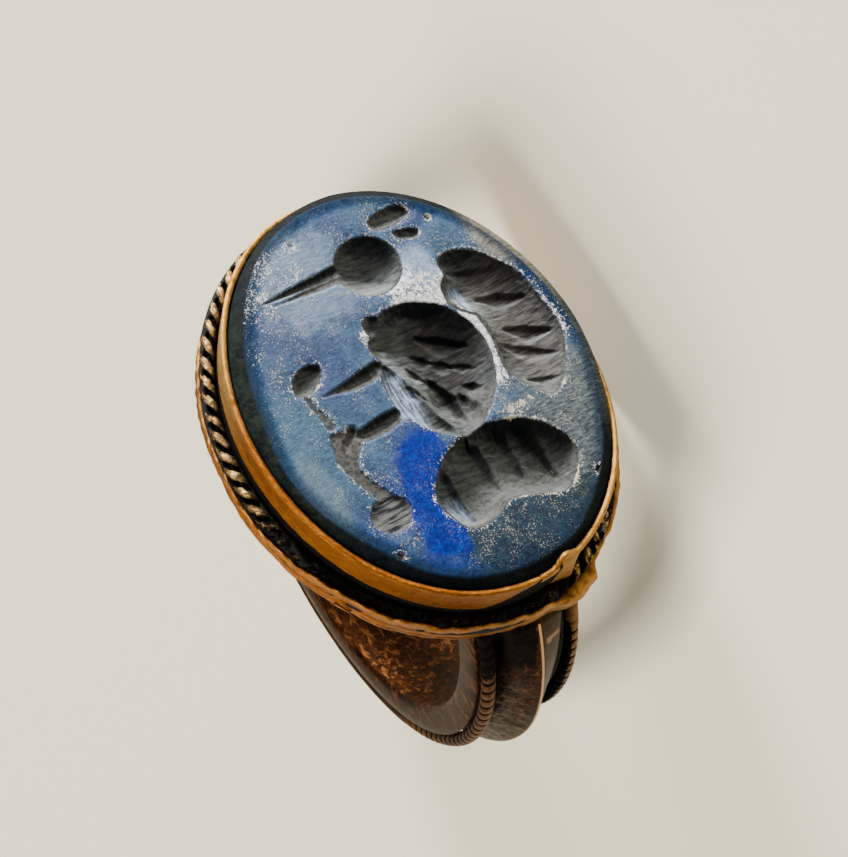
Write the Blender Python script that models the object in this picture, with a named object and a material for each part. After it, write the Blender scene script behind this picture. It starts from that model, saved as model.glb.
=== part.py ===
"""Intaglio ring: an engraved oval lapis lazuli in a strip collet, on a flange plate with a twisted
wire round it, over a ribbed hoop with two beaded edge wires. It lies on its side, as when loose.

Sizes are in metres. The pieces are made in the ring's own axes, from the middle of the finger hole:
T (first) runs along the stone's length, A (second) along the finger, N (third) out through the
stone. The empty named lying_ring then lays them on the floor at Z = 0.
"""

import math

import bmesh
import bpy
from mathutils import Matrix, Vector

TURN = 2 * math.pi

# Stone
STONE_LENGTH = 0.0176
STONE_WIDTH = 0.01425
STONE_PROUD = 0.00032          # the flat face stands this far over the collet's rim
BEVEL_WIDTH = 0.00045          # from the collet's inner edge to the flat face
BEVEL_EXTRA = 0.0003           # the bevel is this much wider at its widest
BEVEL_TURN = math.radians(242)
BEVEL_HALF = math.radians(55)
FAR_BULGE = 0.00014            # the stone's girth hangs this far over the worn side of the collet
ENGRAVING_DEPTH = 0.001        # depth of the deepest scoop
CUTTER_RISE = 0.00025          # the groove cutters start this far over the face
FIGURE_LENGTH_UNIT = STONE_LENGTH / 17.6
FIGURE_WIDTH_UNIT = STONE_WIDTH / 14.25

# Collet
COLLET_WALL = 0.00028
COLLET_HEIGHT = 0.00275
COLLET_TAPER = 0.0001          # the foot is this much smaller all round than the rim
WORN_SIDE = math.radians(131)  # turn at the middle of the side where the rim is worn down
WORN_HALF = math.radians(100)
WORN_DROP = 0.0007
RIM_EDGE = 0.0001              # rounding of the rim
LAP_TURN = math.radians(14)    # where the strip's outer end stops
LAP_BACK = math.radians(8)     # the end is bent from this far back
LAP_REACH = 0.00032            # its lower corner is bent out this far, over the twisted wire
LAP_RISE = 0.00012             # its upper corner stands this far over the rim
LAP_STEP = math.radians(0.5)   # the strip drops back to the inner layer within this turn

# Base plate
PLATE_FLANGE_END = 0.0009      # the plate reaches this far past the stone's ends
PLATE_FLANGE_SIDE = 0.001075   # and this far past its sides
PLATE_THICKNESS = 0.00055
PLATE_SINK = 0.00214           # the plate cuts this far into the finger hole's circle
PLATE_SHIFT = 0.0001           # the plate's middle is this far to +A of the stone's
PLATE_EDGE = 0.00007           # height of the rounding under the plate's edge
PLATE_ROUND = 0.00035          # width of that rounding
CRINKLE = 0.00006
LIP_WIDTH = 0.00025
LIP_RISE = 0.00016             # the edge is turned up this much
FLAP_TURN = math.radians(18)
FLAP_HALF = math.radians(13)
FLAP_REACH = 0.00045
STILL_HALF = math.radians(40)  # the edge is straight this far each way from where the ring lies
DENT_TURN = math.radians(203)  # the edge is pushed in here
DENT_HALF = math.radians(28)
DENT_DEPTH = 0.00018

# Twisted wire round the collet
ROPE_RADIUS = 0.00031
ROPE_SPACE = 0.00006           # between the collet's foot and the wire
ROPE_PITCH = 0.00081
ROPE_VALLEY = 0.70             # radius between beads, as a share
ROPE_LEAN = -0.5               # how far a strand leans forward on its outer side, in bead lengths

# Hoop
HOLE_DIAMETER = 0.0184
HOOP_SHIFT_ALONG = 0.0004      # the hoop was soldered on this far to +T of the stone's middle
HOOP_SHIFT_ACROSS = 0.00026    # and this far to +A
BAND_THICKNESS = 0.00137       # from the hole to the face that the edge wires lie on
BAND_RISE = 0.00011            # that face's middle is this far above the hole's
BAND_WIDTH_SHOULDER = 0.0048
BAND_WIDTH_BACK = 0.0043
RIB_HEIGHT = 0.00138
RIB_CREST = 0.00016            # width of the rib's bright crest
RIB_FLANK = 0.42               # height of the rib's flanks at RIB_WAIST, as a share
RIB_WAIST = 0.35               # where the flanks bend, as a share of the band's half width
RIB_SPREAD = 0.38              # the flanks are this much higher where the rib meets the plate
WAIST_SPREAD = 0.13            # bend this much further out
CREST_FALL = 0.12              # and the crest is this much lower
SPREAD_START = 0.72            # share of the way from the back to the plate where that begins
HOLE_EDGE = 0.00025            # rounding of the hole's edges

# Beaded wires along the hoop's edges
EDGE_WIRE_RADIUS = 0.00032
EDGE_WIRE_PITCH = 0.00054
EDGE_WIRE_VALLEY = 0.74
EDGE_WIRE_LEAN = 0.4
WORN_BACK = math.radians(50)   # the beads are worn smooth this far each way from the hoop's back

WIRE_SIDES = 5
GAP = 0.00003                  # between pieces that touch
WEAR = 0.00010                 # depth of the two flats that the ring lies on

HOLE_RADIUS = HOLE_DIAMETER / 2
BAND_RADIUS = HOLE_RADIUS + BAND_THICKNESS
PLATE_LENGTH = STONE_LENGTH + 2 * PLATE_FLANGE_END
PLATE_WIDTH = STONE_WIDTH + 2 * PLATE_FLANGE_SIDE
PLATE_DROP = HOLE_RADIUS - PLATE_SINK  # from the hole's middle up to the plate's underside
PLATE_TOP = PLATE_DROP + PLATE_THICKNESS
RIM = PLATE_TOP + GAP + COLLET_HEIGHT
FACE = RIM + STONE_PROUD
ROPE_OFFSET = COLLET_WALL - COLLET_TAPER + ROPE_SPACE + ROPE_RADIUS


def material(name, colour, roughness, metallic):
    made = bpy.data.materials.new(name)
    made.use_nodes = True
    shader = made.node_tree.nodes["Principled BSDF"]
    shader.inputs["Base Color"].default_value = (*colour, 1)
    shader.inputs["Roughness"].default_value = roughness
    shader.inputs["Metallic"].default_value = metallic
    return made


def skin(name, rings, finish, loop=False):
    """One closed mesh through rings of points. A loop joins the last ring to the first."""
    mesh = bmesh.new()
    rows = [[mesh.verts.new(point) for point in ring] for ring in rings]
    count = len(rows[0])
    pairs = list(zip(rows, rows[1:]))
    if loop:
        pairs.append((rows[-1], rows[0]))
    for row, following in pairs:
        for i in range(count):
            j = (i + 1) % count
            mesh.faces.new((row[i], row[j], following[j], following[i]))
    if not loop:
        mesh.faces.new(rows[0])
        mesh.faces.new(rows[-1])
    bmesh.ops.recalc_face_normals(mesh, faces=mesh.faces)
    data = bpy.data.meshes.new(name)
    mesh.to_mesh(data)
    mesh.free()
    data.shade_smooth()
    data.set_sharp_from_angle(angle=math.radians(40))
    made = bpy.data.objects.new(name, data)
    bpy.context.scene.collection.objects.link(made)
    if finish:
        data.materials.append(finish)
    else:
        made.hide_render = True
        made.display_type = "WIRE"
    return made


def oval(length, width, offset, turn, level):
    """A point of an oval grown by offset, at a turn from +T towards +A, level above the finger."""
    return Vector((
        (length / 2 + offset) * math.cos(turn),
        (width / 2 + offset) * math.sin(turn),
        level,
    ))


def turns(count):
    return [TURN * i / count for i in range(count)]


def hump(turn, middle, half):
    """1 at the middle, smoothly down to 0 a half away on both sides."""
    away = abs((turn - middle + math.pi) % TURN - math.pi) / half
    return 0.5 + 0.5 * math.cos(math.pi * away) if away < 1 else 0.0


def worn(turn):
    """How far the collet's rim is worn down at this turn, from 0 to 1."""
    return min(1.0, 1.6 * hump(turn, WORN_SIDE, WORN_HALF))


def bulge(turn):
    """How far the stone's girth hangs over the worn rim."""
    return FAR_BULGE * worn(turn) ** 2


def cut(target, cutter, label):
    change = target.modifiers.new(label, "BOOLEAN")
    change.operation = "DIFFERENCE"
    change.object = cutter


def bevel(turn):
    """Width of the stone's bevel at this turn."""
    return BEVEL_WIDTH + BEVEL_EXTRA * hump(turn, BEVEL_TURN, BEVEL_HALF)


def gem(finish):
    """Oval stone: a tapering side, a rounded, uneven bevel and a flat face."""
    steps = (
        # level, offset, share of the bevel's width, share of the bulge over the worn side
        (PLATE_TOP + GAP, -COLLET_TAPER - GAP, 0.0, 0.0),
        (RIM - WORN_DROP + GAP, -COLLET_TAPER * WORN_DROP / COLLET_HEIGHT - GAP, 0.0, 0.0),
        (RIM - WORN_DROP / 3, -GAP - COLLET_TAPER * WORN_DROP / 3 / COLLET_HEIGHT, 0.0, 1.0),
        (RIM + STONE_PROUD * 0.25, -GAP, 0.18, 0.9),
        (RIM + STONE_PROUD * 0.75, 0.0, 0.62, 0.5),
        (FACE, 0.0, 1.0, 0.0),
    )
    rings = []
    for level, offset, cut_share, bulge_share in steps:
        ring = []
        for turn in turns(64):
            out = offset - cut_share * bevel(turn) + bulge_share * bulge(turn)
            ring.append(oval(STONE_LENGTH, STONE_WIDTH, out, turn, level))
        rings.append(ring)
    stone = skin("gem", rings, finish)
    stone.data.shade_flat()
    return stone


def figure_point(along, across, level):
    """A place on the stone's face. At the real size both numbers are millimetres."""
    return Vector((along * FIGURE_LENGTH_UNIT, across * FIGURE_WIDTH_UNIT, level))


def scoop(name, middle, halves, lean, depth):
    """A cutter for one rounded scoop, whose outline on the face is an ellipse leaning by degrees."""
    shell = 0.3                # the ball's middle stands over the face by this share of its radius
    radius = depth * ENGRAVING_DEPTH / (1 - shell)
    grow = 1 / math.sqrt(1 - shell * shell)
    angle = math.radians(lean)
    at_face = -math.degrees(math.asin(shell))
    rings = []
    for latitude in (-80, -58, -38, at_face, 12):
        reach = math.cos(math.radians(latitude)) * grow
        level = FACE + radius * (shell + math.sin(math.radians(latitude)))
        ring = []
        for turn in turns(14):
            u = halves[0] * reach * math.cos(turn)
            v = halves[1] * reach * math.sin(turn)
            along = middle[0] + u * math.cos(angle) - v * math.sin(angle)
            across = middle[1] + u * math.sin(angle) + v * math.cos(angle)
            ring.append(figure_point(along, across, level))
        rings.append(ring)
    return skin(name, rings, None)


def groove(name, points, half_widths, depth, below=0.0):
    """A cutter for a rounded groove through points of the face. It starts a depth below the face."""
    rings = []
    last = len(points) - 1
    for i, (along, across) in enumerate(points):
        before = points[max(i - 1, 0)]
        after = points[min(i + 1, last)]
        run = Vector((after[0] - before[0], after[1] - before[1])).normalized()
        side = Vector((-run.y, run.x))
        half = half_widths[0] + (half_widths[1] - half_widths[0]) * i / last
        deep = (below + depth * half / max(half_widths)) * ENGRAVING_DEPTH
        ring = []
        for across_share, level in (
            (-1.25, FACE + CUTTER_RISE),
            (-1.0, FACE - below * ENGRAVING_DEPTH),
            (-0.55, FACE - deep * 0.8),
            (0.0, FACE - deep),
            (0.55, FACE - deep * 0.8),
            (1.0, FACE - below * ENGRAVING_DEPTH),
            (1.25, FACE + CUTTER_RISE),
        ):
            place = Vector((along, across)) + side * across_share * half
            ring.append(figure_point(place.x, place.y, level))
        rings.append(ring)
    return skin(name, rings, None)


# The bird-like figure, head towards -T and beak towards -A: outline centre, half sizes, lean in
# degrees, depth as a share of the deepest scoop
SCOOPS = (
    ("head", (-5.25, 0.58), (1.38, 1.42), 0, 0.85),
    ("crest_upper", (-6.85, 2.46), (0.42, 0.82), 10, 0.35),
    ("crest_lower", (-5.90, 2.76), (0.27, 0.50), 14, 0.25),
    ("body", (-0.30, 0.92), (3.18, 2.28), -6, 1.0),
    ("breast", (-2.60, -0.78), (0.52, 0.46), 0, 0.45),
    ("wing_shoulder", (-2.95, 4.15), (1.62, 1.48), 30, 0.75),
    ("wing_tip", (0.35, 4.90), (2.38, 1.50), -4, 0.85),
    ("tail_near", (4.72, -0.55), (1.62, 1.55), 10, 0.80),
    ("tail_far", (4.62, 2.20), (1.72, 1.98), -20, 0.85),
    ("round_mark", (-2.02, -4.07), (0.52, 0.52), 0, 0.40),
    ("foot_mark", (4.41, -3.89), (0.76, 0.72), 0, 0.28),
    ("edge_chip", (6.45, 4.95), (0.50, 0.75), 35, 0.45),
)
# Lines cut with a wheel: points, half width at both ends, depth
GROOVES = (
    ("beak_upper", ((-5.75, -0.55), (-5.62, -2.4), (-5.53, -4.16)), (0.27, 0.10), 0.42),
    ("beak_lower", ((-5.15, -0.70), (-5.16, -2.3), (-5.18, -3.82)), (0.20, 0.08), 0.28),
    ("leg_upper", ((-1.30, -1.0), (-1.22, -2.4), (-1.08, -3.84)), (0.34, 0.16), 0.45),
    ("leg_lower", ((0.80, -1.1), (0.86, -2.8), (0.95, -4.1), (1.42, -4.6)), (0.36, 0.22), 0.45),
    (
        "winding_line",
        ((-1.70, -4.25), (-0.6, -4.38), (0.84, -4.33), (1.64, -4.55), (2.42, -4.33), (3.17, -3.98),
         (3.90, -3.75)),
        (0.16, 0.24),
        0.22,
    ),
)
# Feather cuts in the floors of the scoops: ends, half width, depth of the scoop there, own depth
FEATHERS = (
    ("wing_cut_1", (-3.45, 3.3), (-2.95, 5.0), 0.20, 0.55, 0.40),
    ("wing_cut_2", (-2.05, 3.6), (-1.50, 5.4), 0.20, 0.50, 0.40),
    ("wing_cut_3", (-0.60, 4.0), (0.00, 5.7), 0.20, 0.60, 0.40),
    ("wing_cut_4", (0.45, 3.9), (1.15, 5.5), 0.20, 0.60, 0.40),
    ("tail_cut_1", (4.00, -1.1), (5.40, -0.9), 0.20, 0.55, 0.40),
    ("tail_cut_2", (3.80, 0.4), (5.00, 0.5), 0.20, 0.50, 0.40),
    ("tail_cut_3", (3.80, 1.8), (5.10, 1.8), 0.22, 0.60, 0.40),
    ("tail_cut_4", (4.10, 2.8), (5.40, 2.9), 0.20, 0.60, 0.40),
    ("body_cut_1", (-1.90, 0.0), (-1.60, 2.2), 0.18, 0.75, 0.35),
    ("body_cut_2", (-0.70, 0.0), (-0.30, 2.3), 0.18, 0.85, 0.35),
    ("body_cut_3", (0.60, 0.3), (0.90, 2.0), 0.18, 0.80, 0.35),
)


def engrave(stone):
    """Cuts the figure into the stone's face."""
    cutters = [scoop(*entry) for entry in SCOOPS]
    cutters += [groove(*entry) for entry in GROOVES]
    for name, start, end, half, below, depth in FEATHERS:
        middle = ((start[0] + end[0]) / 2, (start[1] + end[1]) / 2)
        cutters.append(groove(name, (start, middle, end), (half, half), depth, below))
    for cutter in cutters:
        cut(stone, cutter, cutter.name)
    return cutters


def collet(finish):
    """A strip bent round the stone. Its outer end is bent out, over the twisted wire."""
    after_end = LAP_TURN + LAP_STEP
    places = [turn for turn in turns(72) if not LAP_TURN - LAP_BACK < turn < after_end]
    places += [LAP_TURN - LAP_BACK * share for share in (1.0, 0.5, 0.0)] + [after_end]
    over_wire = PLATE_TOP + 2 * GAP + 2 * ROPE_RADIUS
    rings = []
    for turn in sorted(places):
        bent = 1 - (LAP_TURN - turn) / LAP_BACK if LAP_TURN - LAP_BACK < turn <= LAP_TURN else 0.0
        rim = RIM - WORN_DROP * worn(turn) + LAP_RISE * bent
        steps = (
            # level, offset
            (PLATE_TOP + GAP, -COLLET_TAPER),
            (PLATE_TOP + GAP, COLLET_WALL - COLLET_TAPER),
            (over_wire, COLLET_WALL - COLLET_TAPER),
            (over_wire + RIM_EDGE, COLLET_WALL - COLLET_TAPER + LAP_REACH * bent),
            (rim - RIM_EDGE, COLLET_WALL + 0.2 * LAP_REACH * bent),
            (rim, COLLET_WALL * 0.55),
            (rim - RIM_EDGE / 2, 0.0),
        )
        rings.append([oval(STONE_LENGTH, STONE_WIDTH, offset, turn, level) for level, offset in steps])
    return skin("collet", rings, finish, loop=True)


def crinkle(turn, phase):
    """The plate's beaten edge, from -1 to 1. It is still at the side that the ring lies on."""
    waves = (
        0.5 * math.sin(9 * turn + phase)
        + 0.3 * math.sin(17 * turn + 2.1 * phase)
        + 0.2 * math.sin(31 * turn + 0.7 * phase)
    )
    return waves * (1 - hump(turn, TURN / 4, STILL_HALF))


def base_plate(finish):
    """A flat oval plate with a crinkled edge turned up a little, and a leaf-shaped flap."""
    steps = (
        # level, offset, share of the crinkle, share of the turned-up lip, share of the flap
        (PLATE_DROP, -PLATE_ROUND, 0.0, 0.0, 0.0),
        (PLATE_DROP + PLATE_EDGE, 0.0, 1.0, 0.3, 0.85),
        (PLATE_TOP - PLATE_EDGE, 0.0, 1.0, 1.0, 1.0),
        (PLATE_TOP, -0.4 * LIP_WIDTH, 0.7, 1.0, 0.9),
        (PLATE_TOP, -LIP_WIDTH, 0.0, 0.0, 0.3),
    )
    places = sorted(turns(84) + [FLAP_TURN + FLAP_HALF * share for share in (-0.8, -0.4, 0.0, 0.5)])
    rings = []
    for level, offset, crinkled, lifted, flapped in steps:
        ring = []
        for turn in places:
            still = 1 - hump(turn, TURN / 4, STILL_HALF)
            out = offset + CRINKLE * crinkled * crinkle(turn, 1.0)
            out += FLAP_REACH * flapped * hump(turn, FLAP_TURN, FLAP_HALF)
            out -= DENT_DEPTH * hump(turn, DENT_TURN, DENT_HALF)
            rise = LIP_RISE * lifted * still * (0.6 + 0.4 * crinkle(turn, 2.6))
            ring.append(oval(PLATE_LENGTH, PLATE_WIDTH, out, turn, level + rise))
        rings.append(ring)
    return skin("base_plate", rings, finish)


def twisted_wire(name, path, radius, valley, lean, finish, loop=False):
    """A wire of leaning beads. path gives point, run, up, swell (1 on a bead) and bead length."""
    rings = []
    for point, run, up, swell, bead_length in path:
        side = run.cross(up).normalized()
        reach = radius * (valley + (1 - valley) * swell)
        ring = []
        for angle in turns(WIRE_SIDES):
            outwards = up * math.cos(angle) + side * math.sin(angle)
            along = run * (math.sin(angle) * lean * bead_length * 0.5)
            ring.append(point + outwards * reach + along)
        rings.append(ring)
    return skin(name, rings, finish, loop)


def even_turns(length, width, offset, pitch):
    """Turns that part an oval's edge into an even number of equal lengths, and that length."""
    fine = 1440
    ends = [oval(length, width, offset, TURN * i / fine, 0) for i in range(fine + 1)]
    run = [0.0]
    for start, end in zip(ends, ends[1:]):
        run.append(run[-1] + (end - start).length)
    count = 2 * round(run[-1] / pitch / 2)
    found = []
    i = 0
    for k in range(count):
        wanted = run[-1] * k / count
        while run[i + 1] < wanted:
            i += 1
        share = (wanted - run[i]) / (run[i + 1] - run[i])
        found.append(TURN * (i + share) / fine)
    return found, run[-1] / count


def rope_wire(finish):
    """A wire of two strands twisted together, laid on the plate round the collet."""
    level = PLATE_TOP + GAP + ROPE_RADIUS
    places, step = even_turns(STONE_LENGTH, STONE_WIDTH, ROPE_OFFSET, ROPE_PITCH / 2)
    path = []
    for i, turn in enumerate(places):
        point = oval(STONE_LENGTH, STONE_WIDTH, ROPE_OFFSET, turn, level)
        near = oval(STONE_LENGTH, STONE_WIDTH, ROPE_OFFSET, turn + 0.001, level)
        run = (near - point).normalized()
        path.append((point, run, Vector((0, 0, 1)), float(i % 2 == 0), 2 * step))
    return twisted_wire("rope_wire", path, ROPE_RADIUS, ROPE_VALLEY, ROPE_LEAN, finish, loop=True)


def band_half_width(angle):
    """Half the band's width at an angle round from the hoop's back."""
    share = 0.5 + 0.5 * math.cos(angle)
    return (BAND_WIDTH_SHOULDER + (BAND_WIDTH_BACK - BAND_WIDTH_SHOULDER) * share) / 2


def band_section(spread):
    """The band's outline across, where its rib is spread from 0 to 1 towards the plate."""
    seat = 2 * EDGE_WIRE_RADIUS + GAP
    inner = HOLE_RADIUS
    flank = BAND_RADIUS + RIB_HEIGHT * (RIB_FLANK + RIB_SPREAD * spread)
    waist = RIB_WAIST + WAIST_SPREAD * spread
    crest = BAND_RADIUS + RIB_HEIGHT * (1 - CREST_FALL * spread)
    half = (
        # radius, rise of the circle's middle, share of the half width, inset from the edge
        (inner, 0.0, 1.0, HOLE_EDGE),
        (inner + HOLE_EDGE, 0.0, 1.0, 0.0),
        (BAND_RADIUS, BAND_RISE, 1.0, 0.0),
        (BAND_RADIUS, BAND_RISE, 1.0, seat),
        (flank, BAND_RISE, waist, 0.0),
        (crest, BAND_RISE, 0.0, -RIB_CREST / 2),
    )
    other = [(radius, rise, -share, -inset) for radius, rise, share, inset in reversed(half)]
    return [*half, *other]


def hoop(finish):
    """The band: round inside, with a middle rib, and cut level where it meets the plate."""
    top = PLATE_DROP - GAP
    stations = 46
    rings = []
    for i in range(stations + 1):
        station = 2 * i / stations - 1
        spread = max(0.0, (abs(station) - SPREAD_START) / (1 - SPREAD_START)) ** 1.5
        ring = []
        for at_plate, here in zip(band_section(1.0), band_section(spread)):
            angle = station * math.acos((at_plate[1] - top) / at_plate[0])
            radius, rise, share, inset = here
            across = band_half_width(angle) * share - inset
            ring.append((radius * math.sin(angle), across, rise - radius * math.cos(angle)))
        rings.append(ring)
    return skin("hoop", rings, finish)


def edge_wire(name, side, finish):
    """A beaded wire along one edge of the band, from the plate round the back to the plate."""
    radius = BAND_RADIUS + GAP + EDGE_WIRE_RADIUS
    end = math.acos((BAND_RISE - PLATE_DROP + GAP + EDGE_WIRE_RADIUS) / radius)
    beads = round(2 * end * radius / EDGE_WIRE_PITCH)
    steps = 2 * beads
    path = []
    for i in range(steps + 1):
        angle = end * (2 * i / steps - 1)
        smooth = abs(angle) < WORN_BACK
        if smooth and i % 4:
            continue
        swell = 1.0 if smooth or i % 2 else 0.0
        across = side * (band_half_width(angle) - EDGE_WIRE_RADIUS)
        middle = Vector((radius * math.sin(angle), across, BAND_RISE - radius * math.cos(angle)))
        run = Vector((math.cos(angle), 0, math.sin(angle)))
        out = Vector((math.sin(angle), 0, -math.cos(angle)))
        lean = 0.0 if smooth or i in (0, steps) else EDGE_WIRE_PITCH
        path.append((middle, run, out, swell, lean))
    shape = (EDGE_WIRE_RADIUS, EDGE_WIRE_VALLEY, EDGE_WIRE_LEAN)
    return twisted_wire(name, path, *shape, finish)


def lying_angle():
    """How far the plate leans when the ring rests on the plate's edge and the hoop's back wire."""
    wire_across = HOOP_SHIFT_ACROSS + band_half_width(0) - EDGE_WIRE_RADIUS
    wire_level = BAND_RISE - BAND_RADIUS - GAP - EDGE_WIRE_RADIUS
    across = PLATE_SHIFT + PLATE_WIDTH / 2 - wire_across
    along = PLATE_DROP + PLATE_EDGE - wire_level
    lean = math.atan2(across, along) - math.asin(EDGE_WIRE_RADIUS / math.hypot(across, along))
    floor = wire_across * math.cos(lean) - wire_level * math.sin(lean) + EDGE_WIRE_RADIUS
    return lean, floor - WEAR


def lay_down(pieces, cutters):
    """Parents the pieces to an empty that lays them on the floor, with their box over the origin."""
    lean, floor = lying_angle()
    empty = bpy.data.objects.new("lying_ring", None)
    bpy.context.scene.collection.objects.link(empty)
    empty.rotation_euler = (lean - math.pi / 2, 0, math.pi)
    turned = empty.rotation_euler.to_matrix()
    places = [turned @ (piece.location + v.co) for piece in pieces for v in piece.data.vertices]
    middle = [
        (min(p[axis] for p in places) + max(p[axis] for p in places)) / 2 for axis in (0, 1)
    ]
    empty.location = (-middle[0], -middle[1], floor)
    for piece in pieces + cutters:
        piece.parent = empty


def worn_flats(pieces):
    """Flattens what would stand below the floor: the two places that the ring lies on."""
    below = bmesh.new()
    span = 3 * PLATE_LENGTH
    bmesh.ops.create_cube(below, size=1, matrix=Matrix.Diagonal((span, span, span, 1)))
    bmesh.ops.translate(below, verts=below.verts, vec=(0, 0, -span / 2))
    data = bpy.data.meshes.new("floor_cutter")
    below.to_mesh(data)
    below.free()
    cutter = bpy.data.objects.new("floor_cutter", data)
    cutter.hide_render = True
    cutter.display_type = "WIRE"
    bpy.context.scene.collection.objects.link(cutter)
    for piece in pieces:
        cut(piece, cutter, "worn flat")


def build():
    for old in list(bpy.data.objects):
        bpy.data.objects.remove(old, do_unlink=True)
    lapis = material("lapis lazuli", (0.06, 0.13, 0.38), 0.35, 0.0)
    gold = material("worn gold", (0.63, 0.40, 0.13), 0.38, 1.0)
    dark_gold = material("tarnished gold", (0.36, 0.25, 0.12), 0.45, 1.0)
    stone = gem(lapis)
    cutters = engrave(stone)
    setting = collet(gold)
    plate = base_plate(gold)
    rope = rope_wire(gold)
    band = hoop(dark_gold)
    near_wire = edge_wire("edge_wire_near", -1, gold)
    far_wire = edge_wire("edge_wire_far", 1, gold)
    plate.location.y = PLATE_SHIFT
    for piece in (band, near_wire, far_wire):
        piece.location = (HOOP_SHIFT_ALONG, HOOP_SHIFT_ACROSS, 0)
    lay_down([stone, setting, plate, rope, band, near_wire, far_wire], cutters)
    worn_flats([plate, far_wire])


build()
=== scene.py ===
"""The intaglio ring as it lies when loose, seen from where the photograph looks at its face."""

import math

import bmesh
import bpy
import numpy as np
from mathutils import Euler, Matrix, Vector, noise


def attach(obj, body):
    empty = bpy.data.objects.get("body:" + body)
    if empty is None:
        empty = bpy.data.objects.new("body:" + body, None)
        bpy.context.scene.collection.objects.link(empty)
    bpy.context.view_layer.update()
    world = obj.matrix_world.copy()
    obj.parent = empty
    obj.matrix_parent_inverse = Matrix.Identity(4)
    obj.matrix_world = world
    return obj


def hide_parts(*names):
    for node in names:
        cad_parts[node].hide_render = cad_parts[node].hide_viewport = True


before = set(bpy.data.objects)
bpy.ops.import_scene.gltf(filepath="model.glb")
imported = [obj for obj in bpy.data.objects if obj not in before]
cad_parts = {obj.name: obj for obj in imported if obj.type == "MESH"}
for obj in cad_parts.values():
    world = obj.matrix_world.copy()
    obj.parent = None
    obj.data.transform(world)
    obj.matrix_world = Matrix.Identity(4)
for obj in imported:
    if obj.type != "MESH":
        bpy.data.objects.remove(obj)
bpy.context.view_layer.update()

# Camera: it looks down at the lying ring's face, rolled so that the figure's head is uppermost and
# the stone's foot end, with the hoop behind it, is at the bottom of the picture.
camera = bpy.data.objects.new("camera", bpy.data.cameras.new("camera"))
camera.data.lens = 86.87
camera.data.sensor_width = 36
camera.data.clip_start = 0.002
camera.data.clip_end = 20
camera.matrix_world = Matrix((
    (-0.50482, 0.82036, -0.26863, -0.02264),
    (-0.44709, -0.51468, -0.73158, -0.06713),
    (-0.73842, -0.24922, 0.62660, 0.05943),
    (0, 0, 0, 1),
))
bpy.context.scene.collection.objects.link(camera)
bpy.context.scene.camera = camera


# The stone: one oval lapis lazuli, flat on top with a rounded, uneven bevel and a side that narrows
# towards its foot. The bird-like figure is cut into the face with round drills and small wheels,
# which leave scoops with ragged lips, feather cuts in their floors and thin lines.
STONE_LENGTH = 17.6                # millimetres, as all sizes of the ring in its own axes
STONE_WIDTH = 14.25
PLATE_TOP = 7.61                   # levels above the middle of the finger hole
RIM = 10.39
FACE = 10.71
WORN_DOME = 0.12
BEVEL_DROP = 0.30
BEVEL_ROWS = 11
GAP = 0.03
COLLET_TAPER = 0.10
COLLET_HEIGHT = 2.75
WORN_DROP = 0.70                   # how far down the collet's rim is worn at its lowest
FACE_STEPS = 280

# The ring's own axes: T along the stone's length, A along the finger, and out through the stone.
# It lies on one long side of the plate and on the back of the hoop.
lying = Matrix.LocRotScale(
    Vector((0.00040, 0.00052946, 0.00556964)), Euler((-1.2544087, 0, math.pi)), None
)


def new_piece(name, points, faces, material, marks):
    """A closed mesh piece, rubbed flat where it rests. Each mark is a number for each point."""
    places = np.asarray(points) / 1000 @ np.array(lying.to_3x3()).T + np.array(lying.translation)
    places[:, 2] = np.maximum(places[:, 2], 0)
    mesh = bpy.data.meshes.new(name)
    mesh.from_pydata(places.tolist(), [], [list(face) for face in faces])
    made = bmesh.new()
    made.from_mesh(mesh)
    bmesh.ops.recalc_face_normals(made, faces=made.faces)
    made.to_mesh(mesh)
    made.free()
    ring_places = mesh.attributes.new("ring", "FLOAT_VECTOR", "POINT")
    ring_places.data.foreach_set("vector", np.ravel(points).astype(np.float32))
    for mark, values in marks.items():
        add_mark(mesh, mark, values)
    mesh.shade_smooth()
    mesh.materials.append(material)
    piece = bpy.data.objects.new(name, mesh)
    bpy.context.scene.collection.objects.link(piece)
    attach(piece, "root")
    return piece


def add_mark(mesh, name, values):
    mark = mesh.attributes.new(name, "FLOAT", "POINT")
    mark.data.foreach_set("value", np.ravel(values).astype(np.float32))


def skin(rows, columns, around=True, along=False):
    """Faces between rows of points, closed around each row, or from the last row to the first."""
    index = np.arange(rows * columns).reshape(rows, columns)
    if around:
        index = np.concatenate([index, index[:, :1]], 1)
    if along:
        index = np.concatenate([index, index[:1]], 0)
    corners = (index[:-1, :-1], index[:-1, 1:], index[1:, 1:], index[1:, :-1])
    return np.stack(corners, -1).reshape(-1, 4).tolist()


def full_turn(steps):
    """Angles at even steps round a full turn."""
    return np.linspace(0, 2 * math.pi, steps, endpoint=False)


def ripple(points, size, seed=0.0):
    """Smooth noise from about -1 to 1, with bumps of a size in millimetres."""
    return np.array([noise.noise(Vector(point) / size + Vector((seed, 0, 0))) for point in points])


def rise(values, low, high):
    """0 at low, smoothly up to 1 at high."""
    share = np.clip((np.asarray(values, float) - low) / (high - low), 0, 1)
    return share * share * (3 - 2 * share)


def hump(turn, middle, half):
    """1 at the middle, smoothly down to 0 a half away on both sides, both in degrees."""
    away = np.abs((np.degrees(turn) - middle + 180) % 360 - 180) / half
    return np.where(away < 1, 0.5 + 0.5 * np.cos(math.pi * np.minimum(away, 1)), 0)


def oval(out, turn, level):
    """Points of the stone's oval grown by out, at turns from +T towards +A."""
    return np.stack([
        (STONE_LENGTH / 2 + out) * np.cos(turn), (STONE_WIDTH / 2 + out) * np.sin(turn),
        level + 0 * turn], -1)


def worn_side(turn):
    """How far the collet's rim is worn down at this turn, from 0 to 1."""
    return np.minimum(1, 1.6 * hump(turn, 131, 100))


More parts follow.
